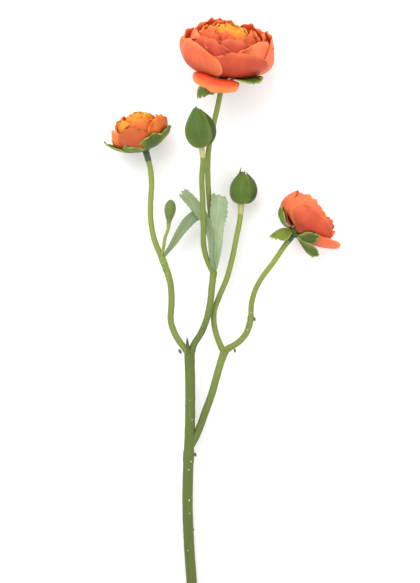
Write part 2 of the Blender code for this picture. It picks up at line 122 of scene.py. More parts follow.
class Nodes:
    """A short hand for building the nodes of one tree."""

    def __init__(self, tree: bpy.types.NodeTree) -> None:
        """Takes the tree that the nodes go into."""
        self.tree = tree

    def put(self, value: object, target: Socket) -> None:
        """Links a socket, or sets a value, on an input.

        Args:
            value: The socket or value.
            target: The input.
        """
        if isinstance(value, Socket):
            self.tree.links.new(value, target)
        else:
            target.default_value = value

    def node(self, kind: str, inputs: Optional[dict] = None, **settings: object) -> bpy.types.Node:
        """Adds a node.

        Args:
            kind: The full node type.
            inputs: Input names or places, and the socket or value that each one gets.
            settings: Node properties.

        Returns:
            The new node.
        """
        made = self.tree.nodes.new(kind)
        for key, value in settings.items():
            setattr(made, key, value)
        for key, value in (inputs or {}).items():
            self.put(value, made.inputs[key])
        return made

    def maths(self, operation: str, *values: object) -> Socket:
        """The result of a new Math node on these sockets or numbers."""
        return self.node("ShaderNodeMath", dict(enumerate(values)), operation=operation).outputs[0]

    def vector(self, *values: object) -> Socket:
        """A vector of these sockets or numbers."""
        return self.node("ShaderNodeCombineXYZ", dict(enumerate(values))).outputs[0]


class Shader(Nodes):
    """A short hand for building one material's nodes."""

    def __init__(self, name: str) -> None:
        """Makes an empty material with a Principled shader.

        Args:
            name: The material's name.
        """
        self.material = bpy.data.materials.new(name)
        self.material.use_nodes = True
        super().__init__(self.material.node_tree)
        self.skin = self.tree.nodes["Principled BSDF"]

    def ramp(self, factor: Socket, *stops: tuple[float, Colour]) -> Socket:
        """Adds a colour ramp.

        Args:
            factor: What drives the ramp.
            stops: Position and colour of each stop, in order.

        Returns:
            The colour socket.
        """
        made = self.node("ShaderNodeValToRGB", {0: factor})
        band = made.color_ramp
        while len(band.elements) < len(stops):
            band.elements.new(0.5)
        for element, (position, colour) in zip(band.elements, stops):
            element.position = position
            element.color = (*colour, 1.0)
        return made.outputs[0]

    def share(self, value: Socket, low: float, high: float, most: float = 1.0) -> Socket:
        """A share that is 0 at the low value and beyond, and the most at the high one and beyond."""
        sizes = {"Value": value, "From Min": low, "From Max": high, "To Max": most}
        return self.node("ShaderNodeMapRange", sizes).outputs[0]

    def blend(self, factor: Socket, first: object, second: object) -> Socket:
        """Mixes two colours or colour sockets by the share of the second."""
        first, second = (c if isinstance(c, Socket) else (*c, 1.0) for c in (first, second))
        return self.node("ShaderNodeMix", {0: factor, 6: first, 7: second}, data_type="RGBA").outputs[2]

    def over(self, body: object, colour: Colour, value: Socket, low: float, high: float,
             most: float) -> Socket:
        """Lays a colour over the body: none of it at the low value, the most of it at the high one."""
        return self.blend(self.share(value, low, high, most), body, colour)

    def noise(self, vector: Socket, scale: float, detail: float = 3.0) -> Socket:
        """A noise value at this scale."""
        sizes = {"Vector": vector, "Scale": scale, "Detail": detail}
        return self.node("ShaderNodeTexNoise", sizes).outputs[0]

    def stretched(self, vector: Socket, scale: Point) -> Socket:
        """The coordinates scaled by a different amount on each axis."""
        return self.node("ShaderNodeMapping", {"Vector": vector, "Scale": scale}).outputs[0]

    def objects(self) -> Socket:
        """Object coordinates."""
        return self.node("ShaderNodeTexCoord").outputs["Object"]

    def sheet(self) -> tuple[Socket, Socket, Socket]:
        """The piece's own sheet coordinates.

        Returns:
            The UV vector, the distance from the middle line and the share along.
        """
        spot = self.node("ShaderNodeUVMap", uv_map="UVMap").outputs[0]
        parts = self.node("ShaderNodeSeparateXYZ", {0: spot})
        side = self.maths("ABSOLUTE", self.maths("MULTIPLY_ADD", parts.outputs[0], 2.0, -1.0))
        return spot, side, parts.outputs[1]

    def value(self, name: str) -> Socket:
        """The named attribute as a number."""
        settings = {"attribute_name": name, "attribute_type": "GEOMETRY"}
        return self.node("ShaderNodeAttribute", **settings).outputs["Fac"]

    def coat(self, body: Socket, lines: Socket, surface: Surface) -> Material:
        """Finishes the material.

        Args:
            body: Its colour.
            lines: The veins or streaks that stand up from it.
            surface: How it takes the light.

        Returns:
            The material.
        """
        inputs = self.skin.inputs
        self.put(body, inputs["Base Color"])
        grain = self.noise(self.objects(), surface.grain, surface.detail)
        self.put(self.maths("MULTIPLY_ADD", grain, surface.spread, surface.roughness), inputs["Roughness"])
        height = self.maths("MULTIPLY_ADD", lines, surface.line_relief,
                            self.maths("MULTIPLY", grain, surface.grain_relief))
        relief = {"Strength": surface.bump, "Distance": surface.depth, "Height": height}
        self.put(self.node("ShaderNodeBump", relief).outputs[0], inputs["Normal"])
        for name, value in (("Specular IOR Level", surface.gloss), ("Subsurface Weight", surface.soak),
                            ("Subsurface Radius", surface.soak_radius),
                            ("Subsurface Scale", surface.soak_scale)):
            inputs[name].default_value = value
        return self.material


# ---------------------------------------------------------------- finishes


@dataclass(frozen=True)
class PetalFinish:
    """Petal tissue: a deep foot, which is partly painted shade for the creases where petals overlap; a
    brighter face; a light rim and light side edges, which are partly a painted highlight; and fine veins
    along its length.
    """

    name: str
    foot: Colour
    face: Colour
    rim: Colour
    blush: Colour
    turn_from: float = 0.42
    turn_to: float = 0.74
    surface: Surface = Surface(grain=1500.0, detail=2.0, roughness=0.49, spread=0.14, grain_relief=0.25,
                               line_relief=1.0, bump=0.5, depth=0.00035, gloss=0.3, soak=0.18,
                               soak_radius=(1.0, 0.35, 0.12), soak_scale=0.0022)

    def material(self) -> Material:
        """Builds the material.

        Returns:
            The material.
        """
        shader = Shader(self.name)
        spot, side, along = shader.sheet()
        # Painted shade: the deep foot colour holds up to turn_from, darkening the lower part of each petal
        # where overlapping petals shade one another; the light rim at the end is partly a painted highlight.
        body = shader.ramp(along, (0.0, self.foot), (self.turn_from, self.foot), (self.turn_to, self.face),
                           (0.9, self.face), (1.0, self.rim))
        # Painted highlight: the side edges are lightened towards the rim colour, partly the petal's own paler
        # margin.
        edge = shader.maths("MULTIPLY", shader.maths("POWER", side, 7.0), 0.75)
        body = shader.blend(edge, body, self.rim)
        body = shader.over(body, self.blush, shader.noise(shader.objects(), 60.0), 0.45, 0.72, 0.45)
        tint = shader.value("tint")
        body = shader.over(body, self.foot, tint, 0.5, 0.0, 0.75)
        body = shader.over(body, self.blush, tint, 0.5, 1.0, 0.75)
        veins = shader.noise(shader.stretched(spot, (46.0, 2.2, 1.0)), 1.0, 4.0)
        body = shader.over(body, shade(self.foot, 0.72), veins, 0.42, 0.75, 0.22)
        return shader.coat(body, veins, self.surface)


@dataclass(frozen=True)
class SepalFinish:
    """Green sepal or bud skin: a dark face, lighter lines along it, a pale margin, and a per-piece value
    whose low end darkens the whole sheet nearly to black as painted shade.
    """

    name: str
    dark: Colour
    light: Colour
    margin: Colour
    margin_width: float = 0.2
    tip: Optional[Colour] = None
    surface: Surface = Surface(grain=1300.0, detail=2.0, roughness=0.48, spread=0.2, grain_relief=0.3,
                               line_relief=1.0, bump=0.6, depth=0.0004, gloss=0.25, soak=0.08,
                               soak_radius=(0.5, 1.0, 0.2))

    def material(self) -> Material:
        """Builds the material.

        Returns:
            The material.
        """
        shader = Shader(self.name)
        spot, side, along = shader.sheet()
        body = shader.ramp(side, (0.0, self.dark), (0.45, self.dark), (0.9, self.light), (1.0, self.light))
        body = shader.over(body, self.light, along, 0.3, 0.0, 0.7)
        tint = shader.value("tint")
        body = shader.over(body, self.light, tint, 0.5, 1.0, 0.75)
        # Painted shade: a low per-piece value darkens the whole sheet nearly to black, for sepals that lie in
        # shadow.
        body = shader.over(body, shade(self.dark, 0.45), tint, 0.5, 0.0, 0.8)
        lines = shader.noise(shader.stretched(spot, (26.0, 1.6, 1.0)), 1.0)
        body = shader.over(body, self.light, lines, 0.45, 0.7, 0.4)
        blotch = shader.noise(shader.objects(), 140.0)
        body = shader.over(body, shade(self.dark, 0.6), blotch, 0.5, 0.75, 0.35)
        rim = shader.maths("MAXIMUM", shader.share(side, 1.0 - self.margin_width, 1.0, 0.85),
                           shader.share(along, 0.93, 1.0, 0.85))
        body = shader.blend(rim, body, self.margin)
        if self.tip:
            body = shader.over(body, self.tip, along, 0.88, 1.0, 1.0)
        return shader.coat(body, lines, self.surface)


@dataclass(frozen=True)
class LeafFinish:
    """Leaf blade: pale sage with greener patches, a branching vein net and a worn brownish edge."""

    name: str
    pale: Colour = (0.285, 0.36, 0.20)
    green: Colour = (0.145, 0.23, 0.095)
    worn: Colour = (0.22, 0.235, 0.15)
    surface: Surface = Surface(grain=1700.0, detail=3.0, roughness=0.55, spread=0.2, grain_relief=0.35,
                               line_relief=-0.8, bump=0.6, depth=0.0004)

    def material(self) -> Material:
        """Builds the material.

        Returns:
            The material.
        """
        shader = Shader(self.name)
        spot, side, along = shader.sheet()
        patches = shader.noise(shader.stretched(spot, (3.0, 6.0, 1.0)), 1.0)
        body = shader.over(self.pale, self.green, patches, 0.35, 0.7, 0.7)
        body = shader.over(body, self.green, along, 0.45, 0.0, 0.5)
        slant = shader.maths("MULTIPLY_ADD", side, -5.5, shader.maths("MULTIPLY", along, 15.0))
        ribs = shader.maths("ABSOLUTE", shader.maths("SINE", shader.maths("MULTIPLY", slant, math.pi)))
        ribs = shader.maths("MULTIPLY", shader.maths("POWER", ribs, 10.0), 0.55)
        veins = shader.maths("MAXIMUM", ribs, shader.share(side, 0.12, 0.02))
        body = shader.blend(shader.maths("MULTIPLY", veins, 0.45), body, shade(self.pale, 1.35))
        edge = shader.maths("MAXIMUM", shader.share(side, 0.9, 1.0, 0.75),
                            shader.share(along, 0.965, 1.0, 0.75))
        return shader.coat(shader.blend(edge, body, self.worn), veins, self.surface)


@dataclass(frozen=True)
class StalkFinish:
    """Stalk skin: light streaks along it, faint mottling, and a collar of another colour at its end."""

    name: str
    low: Colour
    high: Colour
    collar: Optional[Colour] = None
    collar_from: float = 0.95
    surface: Surface = Surface(grain=1100.0, detail=3.0, roughness=0.42, spread=0.2, grain_relief=1.0,
                               line_relief=0.6, bump=0.5, depth=0.0003, gloss=0.3, soak=0.06,
                               soak_radius=(0.6, 1.0, 0.2))

    def material(self) -> Material:
        """Builds the material.

        Returns:
            The material.
        """
        shader = Shader(self.name)
        along = shader.value("along")
        turn = shader.maths("MULTIPLY", shader.value("around"), 2 * math.pi)
        body = shader.ramp(along, (0.0, self.low), (0.35, self.low), (0.8, self.high), (1.0, self.high))
        ring = (shader.maths("MULTIPLY", shader.maths(wave, turn), 2.4) for wave in ("SINE", "COSINE"))
        streaks = shader.noise(shader.vector(*ring, shader.maths("MULTIPLY", along, 5.0)), 2.4, 4.0)
        body = shader.over(body, shade(self.high, 1.45), streaks, 0.5, 0.75, 0.4)
        body = shader.over(body, shade(self.low, 0.62), streaks, 0.5, 0.25, 0.35)
        mottle = shader.noise(shader.objects(), 420.0, 4.0)
        body = shader.over(body, shade(self.low, 0.7), mottle, 0.52, 0.72, 0.3)
        if self.collar:
            start = self.collar_from
            body = shader.over(body, self.collar, along, start - 0.004, start + 0.004, 1.0)
        return shader.coat(body, streaks, self.surface)


@dataclass(frozen=True)
class PlainFinish:
    """One colour with a fine grain, for nubs, flecks and the floor."""

    name: str
    dark: Colour
    light: Colour
    grain: float = 900.0
    roughness: float = 0.6
    gloss: float = 0.5

    def material(self) -> Material:
        """Builds the material.

        Returns:
            The material.
        """
        shader = Shader(self.name)
        grain = shader.noise(shader.objects(), self.grain, 2.0)
        shader.put(shader.blend(grain, self.dark, self.light), shader.skin.inputs["Base Color"])
        shader.skin.inputs["Roughness"].default_value = self.roughness
        shader.skin.inputs["Specular IOR Level"].default_value = self.gloss
        return shader.material


GREEN, LIGHT_GREEN, MID_GREEN = (0.098, 0.13, 0.024), (0.215, 0.275, 0.048), (0.155, 0.20, 0.036)
BEIGE_COLLAR, BLUE_COLLAR = (0.42, 0.39, 0.16), (0.045, 0.085, 0.068)
OLIVE, DARK_NUB, PALE_FLECK = (0.085, 0.112, 0.018), (0.085, 0.11, 0.03), (0.46, 0.48, 0.30)

CORAL = PetalFinish("coral_petal", foot=(0.36, 0.024, 0.010), face=(0.58, 0.078, 0.026),
                    rim=(0.84, 0.23, 0.06), blush=(0.84, 0.19, 0.065))
WARM_CORAL = PetalFinish("warm_coral_petal", foot=(0.46, 0.034, 0.01), face=(0.68, 0.11, 0.024),
                         rim=(0.82, 0.24, 0.045), blush=(0.74, 0.18, 0.025))
SUNNY = PetalFinish("sunny_petal", foot=(0.60, 0.085, 0.01), face=(0.74, 0.235, 0.016),
                    rim=(0.80, 0.36, 0.03), blush=(0.74, 0.31, 0.018))
AMBER = PetalFinish("amber_petal", foot=(0.36, 0.062, 0.014), face=(0.66, 0.125, 0.02),
                    rim=(0.82, 0.27, 0.03), blush=(0.76, 0.20, 0.02))
# Painted shade: the petals' inner faces get this deep crimson, darker than their outer faces, for the shade
# inside the cup.
SHADED_PETAL_INSIDE = PetalFinish("petal_inside_painted_shade", foot=(0.34, 0.015, 0.012), face=(0.56, 0.028, 0.02),
                      rim=(0.74, 0.12, 0.04), blush=(0.74, 0.17, 0.045))
# Painted shade: the top flower's lip keeps its deep red foot colour up past its crest, for the shaded crevice
# under the bowl; the lighter end is its rim.
LIP = PetalFinish("lip_petal", foot=(0.66, 0.055, 0.012), face=(0.68, 0.18, 0.04),
                  rim=(0.74, 0.24, 0.06), blush=(0.70, 0.15, 0.035), turn_from=0.78, turn_to=0.88)
SIDE_LIP = PetalFinish("side_lip_petal", foot=(0.62, 0.05, 0.012), face=(0.80, 0.125, 0.028),
                       rim=(0.84, 0.24, 0.06), blush=(0.80, 0.16, 0.035), turn_from=0.25, turn_to=0.5)
CALYX = SepalFinish("calyx_sepal", dark=(0.056, 0.094, 0.012), light=(0.17, 0.23, 0.022),
                    margin=(0.29, 0.36, 0.09), margin_width=0.15)
BUD_SKIN = SepalFinish("bud_sepal", dark=(0.046, 0.084, 0.012), light=(0.115, 0.185, 0.022),
                       margin=(0.22, 0.30, 0.05), margin_width=0.1, tip=(0.10, 0.09, 0.03))
# Painted shade: the bud's core is nearly black, so that where it shows between and beyond the sepals it reads
# as shadow.
SHADOWED_BUD_CORE = SepalFinish("bud_core_painted_shade", dark=(0.015, 0.028, 0.008), light=(0.03, 0.05, 0.012),
                       margin=(0.03, 0.05, 0.012))
SMALL_BUD_SKIN = SepalFinish("small_bud_skin", dark=(0.115, 0.165, 0.04), light=(0.18, 0.24, 0.06),
                             margin=(0.18, 0.24, 0.06))


# ---------------------------------------------------------------- placing


def unit(vector: Sequence[float]) -> np.ndarray:
    """The vector scaled to length one."""
    vector = np.asarray(vector, float)
    return vector / np.linalg.norm(vector, axis=-1, keepdims=True)


@dataclass
class Layout:
    """Turns the spray's drawn millimetres into metres of the shared frame."""

    anchor_node: str = "main_stem"
    anchor_drawn_low: Point = (-29.317, -211.98, 0.02)
    shift: np.ndarray = field(default_factory=lambda: np.zeros(3))

    def settle(self) -> None:
        """Reads the shift from the anchor node's box."""
        low = np.asarray(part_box(self.anchor_node)[0], float) / MM
        self.shift = low - np.asarray(self.anchor_drawn_low)
        log.info("layout shift %s mm", np.round(self.shift, 2))

    def metres(self, points: np.ndarray) -> np.ndarray:
        """Drawn millimetres to metres of the frame."""
        return (np.asarray(points, float) + self.shift) * MM


LAYOUT = Layout()


@dataclass
class Head:
    """Where a flower or bud sits: its base, the way it faces and the turn that faces the sky."""

    base: Point
    axis: Point
    up: np.ndarray = field(init=False)
    front: np.ndarray = field(init=False)
    right: np.ndarray = field(init=False)

    def __post_init__(self) -> None:
        """Works out the head's own directions."""
        self.up = unit(self.axis)
        self.front = unit(np.array([0, 0, 1.0]) - self.up[2] * self.up)
        self.right = np.cross(self.up, self.front)

    def place(self, radius: np.ndarray, height: np.ndarray, turn: np.ndarray) -> np.ndarray:
        """Points at these radii, heights and turns.

        Args:
            radius: Distances from the axis.
            height: Distances along the axis.
            turn: Turns in radians; 0 is right and a quarter turn is the sky.

        Returns:
            The points, one row each.
        """
        radius, height, turn = (np.asarray(v, float)[..., None] for v in (radius, height, turn))
        outward = np.cos(turn) * self.right + np.sin(turn) * self.front
        return np.asarray(self.base) + height * self.up + radius * outward

    def place_local(self, points: np.ndarray) -> np.ndarray:
        """Points built about their own Z axis, put on this head."""
        return np.asarray(self.base) + points @ np.array([self.right, self.front, self.up])


TOP = Head((-0.6, 173.5, 27.468), (0.17, 0.965, 0.2))
LEFT = Head((-55.6, 125.0, 16.611), (-0.25, 0.95, 0.15))
RIGHT = Head((50.0, 65.4, 20.41), (0.68, 0.70, -0.16))
LARGE_BUD = Head((-15.7, 124.1, 38.0), (-0.13, 0.98, 0.08))
RIGHT_BUD = Head((12.0, 86.0, 13.5), (0.06, 0.99, 0.02))
SMALL_BUD = Head((-38.7, 71.5, 19.4), (0.1, 0.98, 0.05))


# ---------------------------------------------------------------- meshes


def in_scene(name: str, data: bpy.types.ID) -> Object:
    """Puts a mesh, lamp or camera into the scene as an object.

    Args:
        name: The object's name.
        data: What it shows.

    Returns:
        The object.
    """
    made = bpy.data.objects.new(name, data)
    bpy.context.scene.collection.objects.link(made)
    return made


def keep_numbers(mesh: Mesh, name: str, values: np.ndarray) -> None:
    """Stores a number on each point of the mesh under a name."""
    numbers = np.asarray(values, np.float32)
    mesh.attributes.new(name, "FLOAT", "POINT").data.foreach_set("value", numbers)


def keep_corners(mesh: Mesh, corners: np.ndarray) -> None:
    """Stores each point's sheet coordinates as the mesh's UV map.

    Args:
        mesh: The mesh.
        corners: Sheet coordinates of each point.
    """
    index = np.empty(len(mesh.loops), np.int32)
    mesh.loops.foreach_get("vertex_index", index)
    mesh.uv_layers.new(name="UVMap").data.foreach_set("uv", corners[index].astype(np.float32).ravel())


def grid(rows: int, columns: int) -> tuple[np.ndarray, np.ndarray, np.ndarray]:
    """A sheet's shares along from 0 to 1, places across from -1 to 1, and sheet coordinates."""
    t, s = np.meshgrid(np.linspace(0, 1, rows + 1), np.linspace(-1, 1, columns + 1), indexing="ij")
    return t, s, np.stack([(s + 1) / 2, t], axis=-1).reshape(-1, 2)


def grid_faces(rows: int, columns: int, flipped: bool = False, start: int = 0) -> Faces:
    """The faces of a sheet.

    Args:
        rows: Steps along it.
        columns: Steps across it.
        flipped: Whether the faces look the other way.
        start: Index of the sheet's first point.

    Returns:
        Corner indices of each face.
    """
    wide = columns + 1
    first, last = (1, wide) if flipped else (wide, 1)
    spots = [start + i * wide + j for i in range(rows) for j in range(columns)]
    return [(a, a + first, a + wide + 1, a + last) for a in spots]


def mesh_piece(name: str, points: np.ndarray, faces: Faces, material: Material,
               corners: np.ndarray, tint: float = 0.5) -> Object:
    """Makes a smooth piece at the origin from drawn points.

    Args:
        name: The piece's name.
        points: Drawn points in millimetres.
        faces: Corner indices of each face.
        material: Its finish.
        corners: Sheet coordinates of each point.
        tint: Its place between its finish's deep and light tones.

    Returns:
        The new object.
    """
    mesh = bpy.data.meshes.new(name)
    mesh.from_pydata(LAYOUT.metres(points).tolist(), [], faces)
    keep_corners(mesh, corners)
    keep_numbers(mesh, "tint", np.full(len(points), tint))
    mesh.shade_smooth()
    mesh.materials.append(material)
    return in_scene(name, mesh)


def thicken(piece: Object, thickness: float, offset: float) -> bpy.types.Modifier:
    """Gives a sheet its thickness.

    Args:
        piece: The sheet.
        thickness: In millimetres.
        offset: -1 for all of it inside the sheet, 0 for half on each side.

    Returns:
        The modifier.
    """
    wall = piece.modifiers.new("thickness", "SOLIDIFY")
    wall.thickness, wall.offset = thickness * MM, offset
    return wall


def present(piece: Object, slot: Slot, *nodes: str) -> None:
    """Puts a finished piece on the body and says which solids it stands for.

    Args:
        piece: The piece.
        slot: The record's slot named for the piece; not used.
        nodes: Solids it replaces.
    """
    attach(piece, "root")
    if nodes:
        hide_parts(*nodes)
    log.info("piece %s stands for %s", piece.name, ", ".join(nodes) or "nothing: added detail")


def smooth_route(points: Sequence[Sequence[float]], spacing: float) -> np.ndarray:
    """Even steps along a rounded curve through the points.

    Args:
        points: The points to pass, in two or three dimensions.
        spacing: The length of a step.

    Returns:
        The points of the curve.
    """
    points = np.asarray(points, float)
    length = np.concatenate([[0], np.cumsum(np.linalg.norm(np.diff(points, axis=0), axis=1))])
    slopes = np.gradient(points, length, axis=0)
    t = np.linspace(0, 1, 12, endpoint=False)[:, None]
    fine = [
        (2 * t**3 - 3 * t**2 + 1) * points[i] + (t**3 - 2 * t**2 + t) * span * slopes[i]
        + (3 * t**2 - 2 * t**3) * points[i + 1] + (t**3 - t**2) * span * slopes[i + 1]
        for i, span in enumerate(np.diff(length))
    ]
    fine = np.vstack([*fine, points[-1:]])
    run = np.concatenate([[0], np.cumsum(np.linalg.norm(np.diff(fine, axis=0), axis=1))])
    steps = np.linspace(0, run[-1], max(4, round(run[-1] / spacing)) + 1)
    return np.column_stack([np.interp(steps, run, column) for column in fine.T])


def turned(name: str, head: Head, skin: np.ndarray, ends: tuple[float, float], sides: int,
           material: Material, spot: Optional[tuple[float, float]] = None) -> Object:
    """Turns a closed body round the head's axis.

    Args:
        name: The piece's name.
        head: Where it stands.
        skin: Radius and height of each ring.
        ends: Heights at which the foot and the top close on the axis.
        sides: Points round it.
        material: Its finish.
        spot: Sheet coordinates of the whole body; without them they run round it and along it.

    Returns:
        The piece, not yet on its body.
    """
    rings, turn = len(skin), np.linspace(0, 2 * math.pi, sides, endpoint=False)
    points = [head.place(np.full(sides, max(LEAST_RADIUS, r)), np.full(sides, h), turn) for r, h in skin]
    points += [head.place(0.0, height, 0.0)[None, :] for height in ends]
    faces, foot, last = [], rings * sides, (rings - 1) * sides
    for k in range(sides):
        n = (k + 1) % sides
        faces += [(a + k, a + sides + k, a + sides + n, a + n) for a in range(0, last, sides)]
        faces += [(foot, k, n), (foot + 1, last + n, last + k)]
    around = np.concatenate([np.tile(np.abs(np.linspace(-1, 1, sides)), rings), [0.5, 0.5]])
    along = np.concatenate([np.repeat(np.linspace(0, 1, rings), sides), [0.0, 1.0]])
    corners = np.column_stack([around, along])
    if spot:
        corners[:] = spot
    return mesh_piece(name, np.vstack(points), faces, material, corners)


def lathe(name: str, head: Head, outline: Outline, material: Material) -> Object:
    """Turns a closed body from an outline that starts and ends on the axis."""
    skin = smooth_route(outline, 0.5)[1:-1]
    return turned(name, head, skin, (outline[0][1], outline[-1][1]), 40, material)


# ---------------------------------------------------------------- node trees


class Tree(Nodes):
    """A short hand for building one geometry node tree."""

    def __init__(self, name: str) -> None:
        """Makes an empty tree with a geometry input and output.

        Args:
            name: The tree's name.
        """
        super().__init__(bpy.data.node_groups.new(name, "GeometryNodeTree"))
        for way in ("INPUT", "OUTPUT"):
            self.tree.interface.new_socket("Geometry", in_out=way, socket_type="NodeSocketGeometry")
        self.entry = self.node("NodeGroupInput")
        self.exit = self.node("NodeGroupOutput")

    def size(self, name: str, kind: str = "Float") -> Socket:
        """Adds a named input of this kind and gives its socket inside the tree."""
        self.tree.interface.new_socket(name, in_out="INPUT", socket_type="NodeSocket" + kind)
        return self.entry.outputs[name]

    def geometry(self, kind: str, inputs: Optional[dict] = None, **settings: object) -> Socket:
        """The first output of a new GeometryNode node."""
        return self.node("GeometryNode" + kind, inputs, **settings).outputs[0]

    def random(self, low: float, high: float, seed: Socket) -> Socket:
        """A random number for each point.

        Args:
            low: The least.
            high: The most.
            seed: The seed input.

        Returns:
            The value socket.
        """
        made = self.node("FunctionNodeRandomValue", data_type="FLOAT")
        inputs = {socket.identifier: socket for socket in made.inputs}
        inputs["Min_001"].default_value, inputs["Max_001"].default_value = low, high
        self.put(seed, inputs["Seed"])
        return next(socket for socket in made.outputs if socket.identifier == "Value_001")

    def captured(self, geometry: Socket, name: str, value: Socket) -> tuple[Socket, Socket]:
        """Remembers a number on the points.

        Args:
            geometry: The geometry.
            name: What the number is called.
            value: What to remember.

        Returns:
            The geometry and the remembered number.
        """
        made = self.node("GeometryNodeCaptureAttribute", {"Geometry": geometry}, domain="POINT")
        made.capture_items.new("FLOAT", name)
        self.put(value, made.inputs[name])
        return made.outputs[0], made.outputs[name]

    def stored(self, geometry: Socket, name: str, value: Socket) -> Socket:
        """The geometry with a number stored on its points under a name."""
        links = {"Geometry": geometry, "Name": name, "Value": value}
        return self.geometry("StoreNamedAttribute", links, data_type="FLOAT", domain="POINT")

    def finish(self, geometry: Socket, material: Socket) -> None:
        """Ends the tree: instances made real, shaded smooth and given their finish.

        Args:
            geometry: The last geometry.
            material: The finish input.
        """
        real = self.geometry("RealizeInstances", {"Geometry": geometry})
        smooth = self.geometry("SetShadeSmooth", {"Geometry": real})
        dressed = self.geometry("SetMaterial", {"Geometry": smooth, "Material": material})
        self.put(dressed, self.exit.inputs[0])

    def run(self, name: str, host: Mesh, values: dict) -> Mesh:
        """Evaluates the tree on a mesh.

        Args:
            name: The result's name.
            host: The mesh it starts from.
            values: Named inputs and their values.

        Returns:
            The result as a plain mesh.
        """
        carrier = in_scene(name + "_carrier", host)
        modifier = carrier.modifiers.new("grow", "NODES")
        modifier.node_group = self.tree
        for item in self.tree.interface.items_tree:
            if item.item_type == "SOCKET" and item.in_out == "INPUT" and item.name in values:
                modifier[item.identifier] = values[item.name]
        carrier.update_tag()
        graph = bpy.context.evaluated_depsgraph_get()
        grown = carrier.evaluated_get(graph)
        made = bpy.data.meshes.new_from_object(grown, preserve_all_data_layers=True, depsgraph=graph)
        bpy.data.objects.remove(carrier)
        bpy.data.meshes.remove(host)
        made.name = name
        return made


def stalk_tree() -> Tree:
    """Builds the tree that grows a ribbed round stalk along a line with a width at each point.

    Returns:
        The tree.
    """
    tree = Tree("ribbed_stalk")
    step, sides = tree.size("Step"), tree.size("Sides", "Int")
    ribs, rib_depth = tree.size("Ribs", "Int"), tree.size("Rib depth")
    lump, lump_size = tree.size("Lump"), tree.size("Lump size")
    material = tree.size("Finish", "Material")
    curve = tree.geometry("MeshToCurve", {"Mesh": tree.entry.outputs["Geometry"]})
    width = tree.geometry("InputNamedAttribute", {"Name": "width"}, data_type="FLOAT")
    curve = tree.geometry("SetCurveRadius", {"Curve": curve, "Radius": width})
    curve = tree.geometry("ResampleCurve", {"Curve": curve, "Length": step}, mode="LENGTH")
    curve, share = tree.captured(curve, "share", tree.geometry("SplineParameter"))
    ring = tree.geometry("CurvePrimitiveCircle", {"Resolution": sides, "Radius": 1.0})
    ring, turn = tree.captured(ring, "turn", tree.geometry("SplineParameter"))
    tube = tree.geometry("CurveToMesh", {"Curve": curve, "Profile Curve": ring,
                                         "Scale": tree.geometry("InputRadius"), "Fill Caps": True})
    tube = tree.stored(tube, "along", share)
    tube = tree.stored(tube, "around", turn)
    wave = tree.maths("COSINE", tree.maths("MULTIPLY", tree.maths("MULTIPLY", turn, ribs), 2 * math.pi))
    rough = tree.node("ShaderNodeTexNoise", {"Scale": lump_size, "Detail": 2.0}).outputs[0]
    rise = tree.maths("ADD", tree.maths("MULTIPLY", wave, rib_depth),
                      tree.maths("MULTIPLY", tree.maths("SUBTRACT", rough, 0.5), lump))
    push = {0: tree.geometry("InputNormal"), "Scale": rise}
    offset = tree.node("ShaderNodeVectorMath", push, operation="SCALE").outputs[0]
    tree.finish(tree.geometry("SetPosition", {"Geometry": tube, "Offset": offset}), material)
    return tree


def rosette_tree() -> Tree:
    """Builds the tree that sets cupped petals round an axis in a golden-angle spiral, each inside the last.

    Returns:
        The tree.
    """
    tree = Tree("petal_spiral")
    count, seed = tree.size("Petals", "Int"), tree.size("Seed", "Int")
    outer, inner = tree.size("Outer width"), tree.size("Inner width")
    tall, short = tree.size("Outer height"), tree.size("Inner height")
    low, high = tree.size("Outer centre"), tree.size("Inner centre")
    start, sway = tree.size("First turn"), tree.size("Sway")
    material = tree.size("Finish", "Material")
    index = tree.geometry("InputIndex")
    share = tree.maths("DIVIDE", index, tree.maths("SUBTRACT", count, 1.0))

    def between(first: Socket, last: Socket) -> Socket:
        """A size that runs from the first petal's to the last one's."""
        return tree.maths("MULTIPLY_ADD", tree.maths("SUBTRACT", last, first), share, first)

    turn = tree.maths("MULTIPLY_ADD", index, math.radians(GOLDEN_TURN), start)
    lean = tree.maths("MULTIPLY", tree.random(-1.0, 1.0, seed), sway)
    width = between(outer, inner)
    placed = tree.geometry("InstanceOnPoints", {
        "Points": tree.geometry("Points", {"Count": count}),
        "Instance": tree.entry.outputs["Geometry"],
        "Rotation": tree.vector(lean, tree.maths("MULTIPLY", lean, 0.7), turn),
        "Scale": tree.vector(width, width, between(tall, short)),
    })
    lift = tree.vector(0.0, 0.0, between(low, high))
    lifted = {"Instances": placed, "Translation": lift, "Local Space": False}
    tree.finish(tree.geometry("TranslateInstances", lifted), material)
    return tree


def nub_tree() -> Tree:
    """Builds the tree that sets a small stretched bead on each point, by the point's own size.

    Returns:
        The tree.
    """
    tree = Tree("moulded_nubs")
    stretch, seed = tree.size("Stretch"), tree.size("Seed", "Int")
    material = tree.size("Finish", "Material")
    size = tree.geometry("InputNamedAttribute", {"Name": "size"}, data_type="FLOAT")
    placed = tree.geometry("InstanceOnPoints", {
        "Points": tree.geometry("MeshToPoints", {"Mesh": tree.entry.outputs["Geometry"]}),
        "Instance": tree.geometry("MeshIcoSphere", {"Radius": 1.0, "Subdivisions": 2}),
        "Rotation": tree.vector(0.0, 0.0, tree.random(-0.5, 0.5, seed)),
        "Scale": tree.vector(size, tree.maths("MULTIPLY", size, stretch), size),
    })
    tree.finish(placed, material)
    return tree


# ---------------------------------------------------------------- stalks


